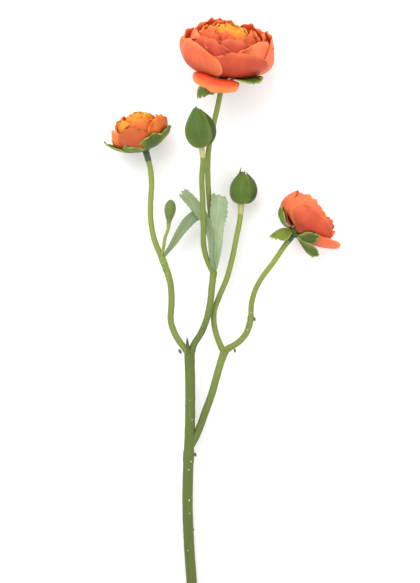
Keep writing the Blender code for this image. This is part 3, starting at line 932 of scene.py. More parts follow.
@dataclass
class Stalk:
    """One stem or stalk: its route, its width along the way and its skin."""

    node: str
    route: Sequence[Point]
    widths: Outline
    finish: StalkFinish
    slot: Slot = Slot.STALK
    ribs: int = 7
    rib_depth: float = 0.05
    lump: float = 0.25
    solid: bool = True
    line_step: float = 1.2
    ring_step: float = 1.3
    sides: int = 28
    lumps_per_metre: float = 260.0

    def build(self, tree: Tree) -> None:
        """Grows the stalk.

        Args:
            tree: The stalk tree.
        """
        line = smooth_route(self.route, self.line_step)
        widths = np.interp(np.linspace(0, 1, len(line)), *zip(*self.widths))
        host = bpy.data.meshes.new(self.node + "_line")
        host.from_pydata(LAYOUT.metres(line).tolist(), [(i, i + 1) for i in range(len(line) - 1)], [])
        keep_numbers(host, "width", widths * MM)
        mesh = tree.run(self.node + "_skin", host, {
            "Step": self.ring_step * MM, "Sides": self.sides, "Ribs": self.ribs,
            "Rib depth": self.rib_depth * MM, "Lump": self.lump * MM, "Lump size": self.lumps_per_metre,
            "Finish": self.finish.material()})
        present(in_scene(self.node + "_skin", mesh), self.slot, *([self.node] if self.solid else []))


@dataclass
class Nubs:
    """Small moulded bumps and flecks on the stalks, each at a spot with a size."""

    name: str
    spots: Sequence[tuple[float, float, float, float]]
    finish: PlainFinish
    stretch: float = 1.7
    seed: int = 5

    def build(self, tree: Tree) -> None:
        """Grows the bumps.

        Args:
            tree: The nub tree.
        """
        spots = np.asarray(self.spots)
        host = bpy.data.meshes.new(self.name + "_spots")
        host.from_pydata(LAYOUT.metres(spots[:, :3]).tolist(), [], [])
        keep_numbers(host, "size", spots[:, 3] * MM)
        values = {"Stretch": self.stretch, "Seed": self.seed, "Finish": self.finish.material()}
        mesh = tree.run(self.name, host, values)
        present(in_scene(self.name, mesh), Slot.STALK)


# ---------------------------------------------------------------- sheets: petals and sepals


def through(points: Outline) -> Profile:
    """A rounded profile through the points.

    Args:
        points: Radius and height of each point, from the foot to the rim.

    Returns:
        The profile, as a function of shares from 0 to 1.
    """
    flat = smooth_route(points, 0.4)
    marks = np.linspace(0, 1, len(flat))
    return lambda t: np.stack([np.interp(t, marks, column) for column in flat.T], axis=-1)


@dataclass(frozen=True)
class Bowl:
    """The nested shells that a flower's petals are cut from."""

    radius: float
    depth: float
    top: float
    step: float = 1.5
    foot_rise: float = 1.25
    centre_rise: float = 0.35
    waist: float = 3.7

    def shell(self, shell: float, reach: float) -> Profile:
        """Profile of one shell, from the receptacle to a rim.

        Args:
            shell: Its place, from 0 at the outside inwards.
            reach: How far it turns up from the foot, in degrees.

        Returns:
            The profile, as a function of shares from 0 to 1.
        """
        wide = self.radius - shell * self.step
        centre = self.depth + shell * self.centre_rise
        tall = centre - shell * self.foot_rise
        crown = self.top - centre - shell * self.centre_rise
        first, last = math.asin(self.waist / (wide - 0.5)), math.radians(reach)

        def profile(t: np.ndarray) -> np.ndarray:
            """Radius and height at each share.

            Args:
                t: Shares from 0 to 1.

            Returns:
                One row of radius and height for each share.
            """
            turn = first + np.asarray(t) * (last - first)
            rise = np.where(turn < 0.5 * math.pi, tall, crown)
            return np.stack([wide * np.sin(turn), centre - rise * np.cos(turn)], axis=-1)

        return profile


@dataclass
class Sheet:
    """A petal or sepal cut from a profile wrapped round the head's axis."""

    angle: float
    spread: float
    profile: Profile
    thickness: float = 0.35
    rows: int = 26
    columns: int = 26
    corner: float = 0.12
    tip: float = 0.6
    foot: float = 0.42
    belly: float = 0.3
    flare: float = 0.0
    wave: float = 0.35
    waves: float = 3.0
    ragged: float = 0.012
    point: float = 0.0
    crease: float = 0.0
    twist: float = 0.0
    skew: float = 0.0
    edge: float = 0.0
    tint: float = 0.5
    seed: int = 1

    def rim(self, s: np.ndarray, phase: np.ndarray) -> np.ndarray:
        """How far along the profile the sheet reaches.

        Args:
            s: Places across, from -1 to 1.
            phase: The sheet's own starting turns.

        Returns:
            The share of the profile, at most 1.
        """
        notch = np.sin(9 * s + phase[0]) + np.sin(17 * s + phase[1]) + 0.6 * np.sin(31 * s + phase[2])
        cut = 1 - self.corner * s**2 - self.point * np.abs(s) - self.skew * s + self.ragged * notch / 2.6
        return cut - max(0.0, float(cut.max()) - 1)

    def half_width(self, t: np.ndarray, phase: np.ndarray) -> np.ndarray:
        """Half the turn that the sheet covers.

        Args:
            t: Shares along.
            phase: The sheet's own starting turns.

        Returns:
            Turns in radians.
        """
        late = np.clip((t - 0.6) / 0.4, 0, 1)
        widening = self.foot + (1 - self.foot) * np.sin(0.5 * math.pi * np.minimum(1, t / 0.6))
        rounding = self.tip + (1 - self.tip) * np.sqrt(1 - late**2)
        return math.radians(self.spread) * widening * rounding * (1 + 0.02 * np.sin(14 * t + phase[3]) * t)

    def relief(self, t: np.ndarray, s: np.ndarray, phase: np.ndarray) -> np.ndarray:
        """How far, in millimetres, the sheet stands off its profile at these shares and places."""
        arch = np.sin(math.pi * t)
        return (
            self.belly * (1 - s**2) * arch
            + self.flare * np.clip((t - 0.72) / 0.28, 0, 1) ** 2
            + self.wave * t**3 * np.sin(self.waves * math.pi * s + phase[4])
            + 0.4 * self.wave * s**4 * np.sin(9 * t + phase[5])
            + 0.6 * self.wave * np.sin(5.5 * s + phase[0]) * arch**2
            + self.edge * s**4 * t
            - self.crease * np.exp(-((s / 0.16) ** 2)) * np.sin(math.pi * np.minimum(1, t * 1.1))
        )

    def build(self, name: str, head: Head, material: Material,
              inside: Optional[Material] = None) -> Object:
        """Makes the sheet on its head.

        Args:
            name: The piece's name.
            head: The head it grows from.
            material: Its finish.
            inside: The finish of its inner face, where it differs.

        Returns:
            The piece, not yet on its body.
        """
        phase = np.random.default_rng(self.seed).uniform(0, 2 * math.pi, 6)
        t, s, corners = grid(self.rows, self.columns)
        share = np.clip(t * (1 + (self.rim(s, phase) - 1) * t), 0, 1)
        turn = math.radians(self.angle) + s * self.half_width(t, phase)
        ahead = self.profile(np.minimum(1, share + 0.01)) - self.profile(np.maximum(0, share - 0.01))
        normal = unit(np.stack([ahead[..., 1], -ahead[..., 0]], axis=-1))
        spot = self.profile(share) + self.relief(t, s, phase)[..., None] * normal
        spot[..., 1] += self.twist * s * t
        points = head.place(spot[..., 0], spot[..., 1], turn).reshape(-1, 3)
        points[:, 2] = np.maximum(points[:, 2], FLOOR_GAP)
        piece = mesh_piece(name, points, grid_faces(self.rows, self.columns), material, corners, self.tint)
        wall = thicken(piece, self.thickness, -1.0)
        if inside:
            piece.data.materials.append(inside)
            wall.material_offset = 1
        return piece


class Cut(Enum):
    """How a sepal's outline differs from the plain pointed one."""

    POINTED = {}
    BROAD = {"foot": 0.95}
    TORN = {"tip": 0.55, "ragged": 0.05, "point": 0.03}
    OVATE = {"corner": 0.1, "tip": 0.34, "point": 0.03, "crease": 0.12}


def sepal(angle: float, spread: float, profile: Union[Profile, Outline], seed: int,
          cut: Cut = Cut.POINTED, **extra: float) -> Sheet:
    """A flower's sepal of this cut, on a profile or on the points of one."""
    form = {"thickness": 0.4, "corner": 0.03, "tip": 0.16, "foot": 0.6, "belly": 0.2, "wave": 0.35,
            "ragged": 0.008, "point": 0.12, "crease": 0.25, **cut.value, **extra}
    return Sheet(angle, spread, profile if callable(profile) else through(profile), seed=seed, **form)


# ---------------------------------------------------------------- flowers


@dataclass
class Rosette:
    """The folded centre petals inside the bowl, in a golden-angle spiral."""

    count: int
    outer: float
    inner: float
    tall: float
    short: float
    low: float
    high: float
    start: float
    seed: int = 3
    sway: float = 0.05
    foot: float = 60.0
    reach: float = 142.0
    spread: float = 72.0
    inside: float = 0.965
    rows: int = 14
    columns: int = 12

    def petal(self) -> Mesh:
        """The petal that is repeated: a cupped patch of a unit shell with a thickness and a ruffled rim.

        Returns:
            Its mesh.
        """
        rows, columns = self.rows, self.columns
        t, s, corners = grid(rows, columns)
        foot, reach = math.radians(self.foot), math.radians(self.reach)
        lift = foot + (reach - foot) * t * (1 - 0.1 * s**2 * t)
        narrowing = 1 - 0.35 * np.clip((t - 0.7) / 0.3, 0, 1) ** 2
        turn = s * math.radians(self.spread) * (0.8 + 0.2 * np.sin(math.pi * t)) * narrowing
        ruffle = 1 + 0.03 * t**3 * np.sin(4.2 * math.pi * s) + 0.02 * t**2 * np.cos(7 * s)
        skin = np.stack([np.sin(lift) * np.cos(turn), np.sin(lift) * np.sin(turn), -np.cos(lift)], axis=-1)
        skin = (ruffle[..., None] * skin).reshape(-1, 3)
        wide, count = columns + 1, len(skin)
        rim = [*range(wide), *range(wide + columns, count, wide),
               *range(count - 2, rows * wide - 1, -1), *range((rows - 1) * wide, 0, -wide)]
        faces = grid_faces(rows, columns, flipped=True) + grid_faces(rows, columns, start=count)
        faces += [(b, a, count + a, count + b) for a, b in zip(rim, rim[1:] + rim[:1])]
        mesh = bpy.data.meshes.new("folded_petal")
        mesh.from_pydata(np.vstack([skin, self.inside * skin]).tolist(), [], faces)
        keep_corners(mesh, np.tile(corners, (2, 1)))
        return mesh

    def build(self, name: str, head: Head, tree: Tree, material: Material) -> Object:
        """Grows the rosette on its head.

        Args:
            name: The piece's name.
            head: The head it grows from.
            tree: The spiral tree.
            material: Its finish.

        Returns:
            The piece, not yet on its body.
        """
        mesh = tree.run(name, self.petal(), {
            "Petals": self.count, "Seed": self.seed, "Outer width": self.outer, "Inner width": self.inner,
            "Outer height": self.tall, "Inner height": self.short, "Outer centre": self.low,
            "Inner centre": self.high, "First turn": math.radians(self.start), "Sway": self.sway,
            "Finish": material})
        local = np.empty(len(mesh.vertices) * 3, np.float32)
        mesh.vertices.foreach_get("co", local)
        local = local.reshape(-1, 3).astype(float)
        placed = LAYOUT.metres(head.place_local(local))
        mesh.vertices.foreach_set("co", placed.astype(np.float32).ravel())
        away = np.hypot(local[:, 0], local[:, 1]) / (self.outer * 0.95)
        keep_numbers(mesh, "tint", np.clip(1.02 - 0.72 * away, 0.15, 0.95))
        mesh.flip_normals()
        mesh.update()
        return in_scene(name, mesh)


@dataclass(frozen=True)
class Tweak:
    """How one petal of a flower differs from its row."""

    reach: float = 0.0
    turn: float = 0.0
    crown: float = 0.0
    belly: float = 0.3
    flare: Optional[float] = None
    spread: Optional[float] = None
    tint: Optional[float] = None


@dataclass
class Flower:
    """An open flower: rows of bowl petals, a folded centre, sepals and a receptacle."""

    name: str
    head: Head
    bowl: Bowl
    petals: int
    solid_petals: int
    first_turn: float
    spreads: tuple[float, float]
    reaches: tuple[float, float]
    inner_shell: float
    outer_finish: PetalFinish
    inner_finish: PetalFinish
    rosette: Rosette
    sepals: Sequence[Sheet]
    tweaks: dict[int, Tweak]
    seed: int
    flare: float
    lip: Optional[Sheet] = None
    lip_finish: Optional[PetalFinish] = None
    edge: float = 0.8
    wave_share: float = 0.03
    inner_from: float = 0.6

    def petal(self, number: int, jitter: np.ndarray) -> Sheet:
        """One petal of the bowl.

        Args:
            number: Its place in the spiral, from 0 at the outside.
            jitter: Four random numbers from -1 to 1.

        Returns:
            Its sheet.
        """
        share, tweak = number / (self.petals - 1), self.tweaks.get(number, Tweak())
        reach = float(np.interp(share**0.75, (0, 1), self.reaches)) + 2.5 * jitter[2] + tweak.reach
        spread = float(np.interp(share, (0, 1), self.spreads)) * (1 + 0.08 * jitter[1])
        bowl = replace(self.bowl, top=self.bowl.top + tweak.crown)
        return Sheet(
            angle=self.first_turn + GOLDEN_TURN * number + 5 * jitter[0] + tweak.turn,
            spread=spread if tweak.spread is None else tweak.spread,
            profile=bowl.shell(self.inner_shell * share, reach), belly=tweak.belly,
            flare=self.flare * (1 + jitter[3]) if tweak.flare is None else tweak.flare,
            tint=0.5 + 0.4 * jitter[0] if tweak.tint is None else tweak.tint,
            seed=self.seed * 100 + number, wave=self.wave_share * self.bowl.radius, edge=self.edge)

    def build(self, spiral: Tree) -> None:
        """Makes every piece of the flower.

        Args:
            spiral: The tree for the folded centre.
        """
        outer, inner = self.outer_finish.material(), self.inner_finish.material()
        heart, green, inside = SUNNY.material(), CALYX.material(), SHADED_PETAL_INSIDE.material()
        luck = np.random.default_rng(self.seed)
        for number in range(self.petals):
            sheet = self.petal(number, luck.uniform(-1, 1, 4))
            skin = outer if number / (self.petals - 1) < self.inner_from else inner
            piece = sheet.build(f"{self.name}_petal_sheet_{number + 1}", self.head, skin, inside)
            solids = [f"{self.name}_petal_{number + 1}"] if number < self.solid_petals else []
            present(piece, Slot.PETAL, *solids)
        if self.lip:
            piece = self.lip.build(f"{self.name}_lip_sheet", self.head, self.lip_finish.material())
            present(piece, Slot.PETAL, f"{self.name}_lip_petal")
        for number, sheet in enumerate(self.sepals, 1):
            piece = sheet.build(f"{self.name}_sepal_sheet_{number}", self.head, green)
            present(piece, Slot.SEPAL, f"{self.name}_sepal_{number}")
        centre = self.rosette.build(f"{self.name}_folded_centre", self.head, spiral, heart)
        present(centre, Slot.HEART, f"{self.name}_heart")
        present(self.receptacle(green), Slot.SEPAL)

    def receptacle(self, material: Material) -> Object:
        """The cup and core that the petals and sepals grow from.

        Args:
            material: Its finish.

        Returns:
            The piece, not yet on its body.
        """
        core = self.bowl.depth + 4
        skin = smooth_route([
            (0.02, -3.5), (1.4, -3.5), (2.2, -3.35), (2.9, -2.9), (3.4, -2.2), (3.6, -1.4), (3.6, 0.0),
            (3.4, 2.0), (3.2, 6.0), (3.4, 0.6 * core), (5.0, 0.8 * core), (4.2, core), (1.5, core + 1.2),
            (0.02, core + 1.4),
        ], 0.6)
        ends = (skin[0, 1], skin[-1, 1])
        return turned(f"{self.name}_receptacle", self.head, skin, ends, 32, material, (0.3, 0.4))


# ---------------------------------------------------------------- buds and leaves


@dataclass(frozen=True)
class BudSepal:
    """One sepal of a bud: its turn, half its spread, its share of the height and its gap from the core."""

    angle: float
    spread: float
    reach: float
    away: float
    tint: float = 0.5
    belly: float = 0.25


@dataclass
class Bud:
    """A closed bud: a core and overlapping sepals with pointed tips."""

    name: str
    head: Head
    outline: Outline
    sepals: Sequence[BudSepal]
    foot: float = 0.03

    def profile(self, away: float, reach: float) -> Profile:
        """A sepal's profile, this far outside the core.

        Args:
            away: Distance from the core's skin.
            reach: Share of the core's height that it covers.

        Returns:
            The profile, as a function of shares from 0 to 1.
        """
        skin = np.asarray([*self.outline[:-1], (0.3, self.outline[-1][1] - 0.4)], float)
        slopes = np.gradient(skin, axis=0)
        whole = through(skin + away * unit(np.stack([slopes[:, 1], -slopes[:, 0]], axis=-1)))
        return lambda t: whole(self.foot + np.asarray(t) * (reach - self.foot))

    def build(self) -> None:
        """Makes the core and the sepals."""
        closed = [(0.0, self.outline[0][1]), *self.outline]
        core = lathe(f"{self.name}_core_skin", self.head, closed, SHADOWED_BUD_CORE.material())
        present(core, Slot.BUD, f"{self.name}_core")
        material = BUD_SKIN.material()
        for number, part in enumerate(self.sepals, 1):
            sheet = Sheet(part.angle, part.spread, self.profile(part.away, part.reach), thickness=0.45,
                          rows=34, columns=22, corner=0.02, point=0.05, tip=0.25, foot=0.55,
                          belly=part.belly, wave=0.12, ragged=0.004, crease=-0.25, tint=part.tint,
                          seed=40 + number)
            piece = sheet.build(f"{self.name}_sepal_sheet_{number}", self.head, material)
            present(piece, Slot.BUD, f"{self.name}_sepal_{number}")


@dataclass
class Leaf:
    """A leaf blade along a route, with a toothed end."""

    node: str
    route: Sequence[Point]
    widths: Sequence[tuple[float, float]]
    lean: float
    teeth: Sequence[float]
    finish: LeafFinish
    seed: int
    rows: int = 64
    columns: int = 24
    thickness: float = 0.5

    def points(self, t: np.ndarray, s: np.ndarray) -> np.ndarray:
        """The blade's points.

        Args:
            t: Shares along.
            s: Places across, from -1 to 1.

        Returns:
            The points, row by row.
        """
        line, shares = smooth_route(self.route, 0.4), t[:, 0]
        marks = np.linspace(0, 1, len(line))
        line = np.column_stack([np.interp(shares, marks, column) for column in line.T])
        along = unit(np.gradient(line, axis=0))
        lift = unit(np.array([0, 0, 1.0]) - along[:, 2:] * along)
        side = np.cross(along, lift)
        tilt = (math.radians(self.lean) * shares)[:, None]
        side, lift = np.cos(tilt) * side + np.sin(tilt) * lift, np.cos(tilt) * lift - np.sin(tilt) * side
        phase = np.random.default_rng(self.seed).uniform(0, 6, 4)
        steps = np.linspace(0, 1, len(self.widths))
        left, right = (np.interp(t, steps, edge) for edge in zip(*self.widths))
        saw = 0.16 * ((t * 15 + phase[0]) % 1.0) * np.clip((t - 0.35) / 0.3, 0, 1)
        width = np.where(s > 0, right, left) * (1 - saw * np.abs(s) ** 3)
        teeth = np.interp(s, np.linspace(-1, 1, len(self.teeth)), self.teeth)
        forward = teeth * np.maximum(0.0, (t - 0.6) / 0.4) ** 2
        bend = (0.9 * s**2 * t + 0.35 * t * np.sin(2.6 * s + 5 * t + phase[1])
                - 0.35 * np.exp(-((s / 0.14) ** 2)) * np.sin(math.pi * np.minimum(1, t * 1.05)))
        spread = sum(size[..., None] * way[:, None] for size, way in
                     ((s * width, side), (forward, along), (bend, lift)))
        return (line[:, None] + spread).reshape(-1, 3)

    def build(self) -> None:
        """Makes the blade."""
        t, s, corners = grid(self.rows, self.columns)
        faces = grid_faces(self.rows, self.columns, flipped=True)
        piece = mesh_piece(self.node + "_blade", self.points(t, s), faces, self.finish.material(), corners)
        thicken(piece, self.thickness, 0.0)
        present(piece, Slot.LEAF, self.node)


# ---------------------------------------------------------------- the spray


def neck(head: Head, back: float, depth: float) -> list[Point]:
    """Two last points of a stalk that meets its head square and stops this deep under its base."""
    end = np.asarray(head.base) - depth * head.up
    return [tuple(end - back * head.up), tuple(end)]


def lower_stalks() -> list[Stalk]:
    """The main stem, the centre limb and the left limb with the small bud's stalk."""
    return [
        Stalk("main_stem", [
            (-20.0, -211.6, 3.53), (-22.8, -178.9, 5.4), (-24.6, -153.4, 7.2), (-25.6, -126.5, 9.2),
            (-25.1, -98.2, 11.0), (-23.9, -70.0, 12.8), (-23.8, -41.8, 14.6), (-24.2, -20.0, 16.0),
        ], [(0, 3.5), (0.04, 3.65), (0.6, 3.65), (0.607, 3.9), (0.64, 3.95), (0.647, 3.55), (0.95, 3.5),
            (1, 3.7)],
            StalkFinish("main_stem_skin", OLIVE, GREEN), Slot.MAIN_STEM, ribs=9, rib_depth=0.12, lump=0.5),
        Stalk("centre_stem", [
            (-23.6, -22.0, 16.0), (-21.4, -14.0, 16.1), (-16.1, -5.3, 16.3), (-12.6, 3.1, 16.4),
            (-9.7, 15.7, 16.6), (-8.4, 28.4, 16.8), (-7.2, 38.0, 17.0),
        ], [(0, 2.8), (0.15, 2.3), (0.9, 2.3), (1, 2.6)], StalkFinish("centre_stem_skin", GREEN, MID_GREEN),
            lump=0.4),
        Stalk("left_flower_stalk", [
            (-24.2, -20.6, 16.0), (-26.8, -17.0, 16.0), (-30.5, -12.3, 15.9), (-34.7, -5.3, 15.6),
            (-37.3, 3.1, 15.4), (-36.8, 15.7, 15.0), (-37.4, 28.4, 14.6), (-41.0, 41.0, 14.3),
            (-44.6, 49.4, 14.2), (-48.1, 57.8, 14.5), (-51.0, 70.5, 15.1), (-51.6, 84.5, 15.9),
            (-50.8, 98.5, 16.7), *neck(LEFT, 12, 3.7),
        ], [(0, 2.5), (0.06, 2.25), (0.44, 2.25), (0.47, 2.6), (0.5, 2.0), (0.95, 1.9), (0.955, 2.1),
            (1, 2.3)],
            StalkFinish("left_stalk_skin", MID_GREEN, LIGHT_GREEN, BLUE_COLLAR, 0.957), lump=0.35),
        Stalk("small_bud_stalk", [
            (-44.2, 48.4, 14.3), (-42.6, 53.6, 16.0), (-41.2, 62.0, 17.5), *neck(SMALL_BUD, 4, 0.0),
        ], [(0, 1.25), (0.85, 1.15), (1, 1.6)],
            StalkFinish("small_bud_stalk_skin", LIGHT_GREEN, LIGHT_GREEN), ribs=5, rib_depth=0.03),
    ]


def upper_stalks() -> list[Stalk]:
    """The stalks of the top flower and the large bud, and the right branch with its two stalks."""
    return [
        Stalk("top_flower_stalk", [
            (-7.1, 38.4, 17.0), (-5.8, 49.4, 17.4), (-7.4, 60.0, 17.8), (-9.4, 78.0, 18.6),
            (-11.0, 95.0, 19.6), (-11.4, 112.3, 20.8), (-10.6, 124.9, 21.7), (-8.0, 137.4, 22.6),
            (-5.2, 149.9, 23.6), *neck(TOP, 9, 3.7),
        ], [(0, 1.9), (0.94, 1.9), (0.955, 2.15), (1, 2.25)],
            StalkFinish("top_stalk_skin", MID_GREEN, LIGHT_GREEN)),
        Stalk("large_bud_stalk", [
            (-7.6, 36.6, 17.2), (-9.6, 40.8, 19.4), (-11.6, 45.4, 20.8), (-13.9, 53.5, 23.2),
            (-14.5, 70.2, 26.9), (-14.9, 86.9, 30.4), (-15.5, 103.5, 33.6), *neck(LARGE_BUD, 8.8, -1.6),
        ], [(0, 1.9), (0.908, 1.9), (0.918, 2.05), (1, 2.1)],
            StalkFinish("large_bud_stalk_skin", MID_GREEN, MID_GREEN, BEIGE_COLLAR, 0.908)),
        Stalk("right_branch_stem", [
            (-23.7, -85.0, 12.0), (-20.6, -79.4, 12.0), (-17.6, -72.8, 12.1), (-13.0, -60.2, 12.3),
            (-8.4, -47.5, 12.5), (-4.9, -34.9, 12.7), (-1.2, -22.6, 12.9), (0.6, -18.0, 13.0),
        ], [(0, 2.75), (0.9, 2.6), (1, 3.0)], StalkFinish("right_branch_skin", GREEN, MID_GREEN), lump=0.4),
        Stalk("right_flower_stalk", [
            (0.9, -17.7, 13.0), (4.2, -15.4, 13.1), (9.2, -12.4, 13.2), (14.8, -6.7, 13.5),
            (18.4, 3.1, 14.0), (19.3, 15.7, 14.6), (21.6, 24.2, 15.4), (26.6, 33.6, 16.9),
            (34.0, 43.4, 19.2), (40.6, 53.2, 20.8),
            neck(RIGHT, 10, 3.7)[1],
        ], [(0, 2.6), (0.06, 2.2), (0.3, 2.25), (0.31, 2.55), (0.325, 2.55), (0.335, 1.95), (0.94, 1.9),
            (0.95, 2.2), (1, 2.3)],
            StalkFinish("right_stalk_skin", MID_GREEN, LIGHT_GREEN, BLUE_COLLAR, 0.955), lump=0.35),
        Stalk("right_bud_stalk", [
            (0.2, -19.4, 13.0), (-2.4, -14.2, 12.7), (-5.6, -5.4, 12.2), (-7.2, 3.1, 11.8),
            (-6.6, 11.5, 11.6), (-3.5, 19.9, 11.6), (1.8, 32.6, 11.8), (5.3, 45.2, 12.1),
            (8.8, 62.1, 12.6), *neck(RIGHT_BUD, 9, 0.2),
        ], [(0, 2.4), (0.06, 2.0), (0.93, 1.85), (0.94, 2.05), (1, 2.1)],
            StalkFinish("right_bud_stalk_skin", MID_GREEN, LIGHT_GREEN, BEIGE_COLLAR, 0.93)),
    ]


def spurs() -> list[Stalk]:
    """The right bud's two awns and the short dark spur in the fork.

    Returns:
        The three stalks.
    """
    brown = StalkFinish("bud_awn_skin", (0.10, 0.085, 0.035), (0.14, 0.075, 0.03))
    awns = [
        [(10.6, 103.5, 17.2), (10.9, 106.2, 16.4), (11.4, 108.6, 15.9), (12.2, 111.0, 15.6)],
        [(13.4, 103.0, 17.2), (13.9, 105.0, 16.4), (14.3, 106.8, 16.0), (14.6, 108.6, 15.8)],
    ]
    return [
        *(Stalk(f"right_bud_awn_{number}", route, [(0, 0.75), (0.6, 0.45), (1, 0.12)], brown, solid=False)
          for number, route in enumerate(awns, 1)),
        Stalk("fork_spur",
              [(-24.0, -23.0, 17.5), (-24.8, -18.0, 18.6), (-25.6, -13.0, 19.4), (-25.9, -8.5, 20.0)],
              [(0, 1.6), (0.5, 1.3), (0.85, 0.8), (1, 0.25)],
              StalkFinish("fork_spur_skin", OLIVE, (0.05, 0.065, 0.02)), solid=False),
    ]


def nubs() -> list[Nubs]:
    """The moulded bumps beside the joints and the pale flecks down the stem."""
    return [
        Nubs("dark_nubs", [
            (-28.1, -116.6, 9.5, 0.8), (-30.8, -18.2, 16.5, 1.1), (-20.0, -90.6, 12.5, 0.9),
            (-21.5, -143.2, 8.5, 0.6), (21.4, 4.4, 14.4, 0.9), (7.6, -17.6, 13.6, 0.9),
            (-42.3, 38.8, 14.6, 0.7),
        ], PlainFinish("dark_nub_skin", shade(DARK_NUB, 0.8), shade(DARK_NUB, 1.15))),
        Nubs("pale_flecks", [
            (-23.2, -95.4, 15.0, 0.45), (-24.6, -101.2, 14.6, 0.4), (-24.4, -122.6, 12.9, 0.45),
            (-24.2, -131.8, 12.4, 0.35), (-22.4, -66.0, 16.3, 0.35), (-24.2, -52.4, 17.2, 0.3),
            (16.6, -3.0, 15.9, 0.35), (19.0, 9.0, 16.4, 0.4), (-43.0, 43.6, 16.3, 0.4),
            (-39.6, 36.4, 16.4, 0.35), (-25.2, -158.0, 10.4, 0.35),
        ], PlainFinish("pale_fleck_skin", shade(PALE_FLECK, 0.8), shade(PALE_FLECK, 1.15))),
    ]


def top_flower() -> Flower:
    """The large flower at the top, with its lip petal hanging over the stalk.

    Returns:
        The flower.
    """
    bowl = Bowl(33.0, 18.0, 44.5)
    lip = [(3.7, -1.3), (9, -0.7), (15, 0.7), (20, 2.1), (23.5, 1.2), (25.2, -2.4), (24.8, -7.8)]
    return Flower(
        "top_flower", TOP, bowl, petals=22, solid_petals=9, first_turn=150, spreads=(54, 46),
        reaches=(106, 134), inner_shell=9.6, outer_finish=CORAL, inner_finish=WARM_CORAL, seed=11, flare=0.5,
        tweaks={
            0: Tweak(belly=1.5, flare=0.8, tint=0.6), 1: Tweak(reach=14),
            2: Tweak(reach=-8, flare=1.6, belly=1.3, tint=0.2), 3: Tweak(crown=2.0, flare=2.0, tint=0.95),
            4: Tweak(reach=12, belly=3.6, flare=3.0, tint=0.95), 5: Tweak(tint=0.15),
            6: Tweak(reach=14, crown=3.0, tint=0.7), 7: Tweak(belly=4.0, flare=3.2, tint=1.0),
            8: Tweak(tint=0.95), 9: Tweak(reach=12, crown=3.0), 10: Tweak(tint=0.2),
            11: Tweak(reach=8, crown=5.0, tint=0.95), 12: Tweak(reach=4, belly=4.0, flare=3.0, tint=0.9),
            16: Tweak(tint=0.95), 17: Tweak(belly=3.0), 19: Tweak(crown=4.5, tint=0.9),
        },
        rosette=Rosette(13, 16.5, 4.6, 14.5, 8.5, 24.5, 31.5, start=60),
        lip=Sheet(105, 46, through(lip), corner=0.12, tip=0.72, wave=1.1, waves=2.3, flare=0.5, belly=0.2,
                  twist=1.2, seed=8),
        lip_finish=LIP,
        sepals=[
            sepal(43, 26, [(3.7, -1.6), (10, 0.6), (18, 3.2), (27, 5.2), (37.5, 5.7)], 21, Cut.BROAD,
                  twist=-2.2, tint=0.35),
            sepal(62, 24, [(3.7, -2.5), (7, -3.4), (10.5, -5.4), (12.5, -8.5)], 22),
            sepal(134, 35, [(3.7, -2.4), (8, -3.2), (12.5, -6.0), (16.0, -10.5), (16.6, -17.0)], 23,
                  Cut.TORN, skew=-0.14, tint=0.7),
            sepal(206, 20, [(3.7, -1.6), (10, -1.2), (18, 0.8), (24, 3.4), (28.5, 6.6)], 24),
            sepal(290, 26, bowl.shell(-1.2, 46), 25),
        ])


def left_flower() -> Flower:
    """The orange flower on the left, half held by its sepals."""
    bowl = Bowl(20.5, 12.5, 31.0)
    return Flower(
        "left_flower", LEFT, bowl, petals=12, solid_petals=5, first_turn=118, spreads=(50, 46),
        reaches=(98, 132), inner_shell=6.0, outer_finish=AMBER, inner_finish=SUNNY, seed=12, flare=0.7,
        tweaks={
            0: Tweak(reach=10, turn=-6, belly=2.6, flare=1.2, spread=36, tint=0.0), 1: Tweak(reach=16),
            2: Tweak(reach=10, flare=1.4, spread=41, tint=0.7),
            3: Tweak(reach=-6, belly=5.0, flare=1.4, tint=0.7), 4: Tweak(reach=-8), 5: Tweak(tint=0.45),
            6: Tweak(tint=1.0), 7: Tweak(reach=-9, flare=0.3, tint=0.9), 8: Tweak(belly=1.6, tint=0.8),
            11: Tweak(tint=1.0),
        },
        rosette=Rosette(9, 10.4, 3.4, 10.0, 6.5, 16.0, 20.5, start=20, seed=4),
        sepals=[
            sepal(20, 36, bowl.shell(-0.9, 88), 31, Cut.OVATE, tint=0.85),
            sepal(68, 31, bowl.shell(-1.6, 84), 32, Cut.OVATE, tint=0.45),
            sepal(129, 36, [(3.7, -1.6), (9, -1.6), (14, 0.0), (18, 2.6), (20.8, 6.4)], 33, tint=0.8),
            sepal(176, 34, [(3.7, -1.6), (10, -1.2), (18.5, 2.0), (23.5, 6.0), (27.0, 11.6)], 34, tint=0.6),
            sepal(270, 27, bowl.shell(-1.2, 50), 35),
        ])


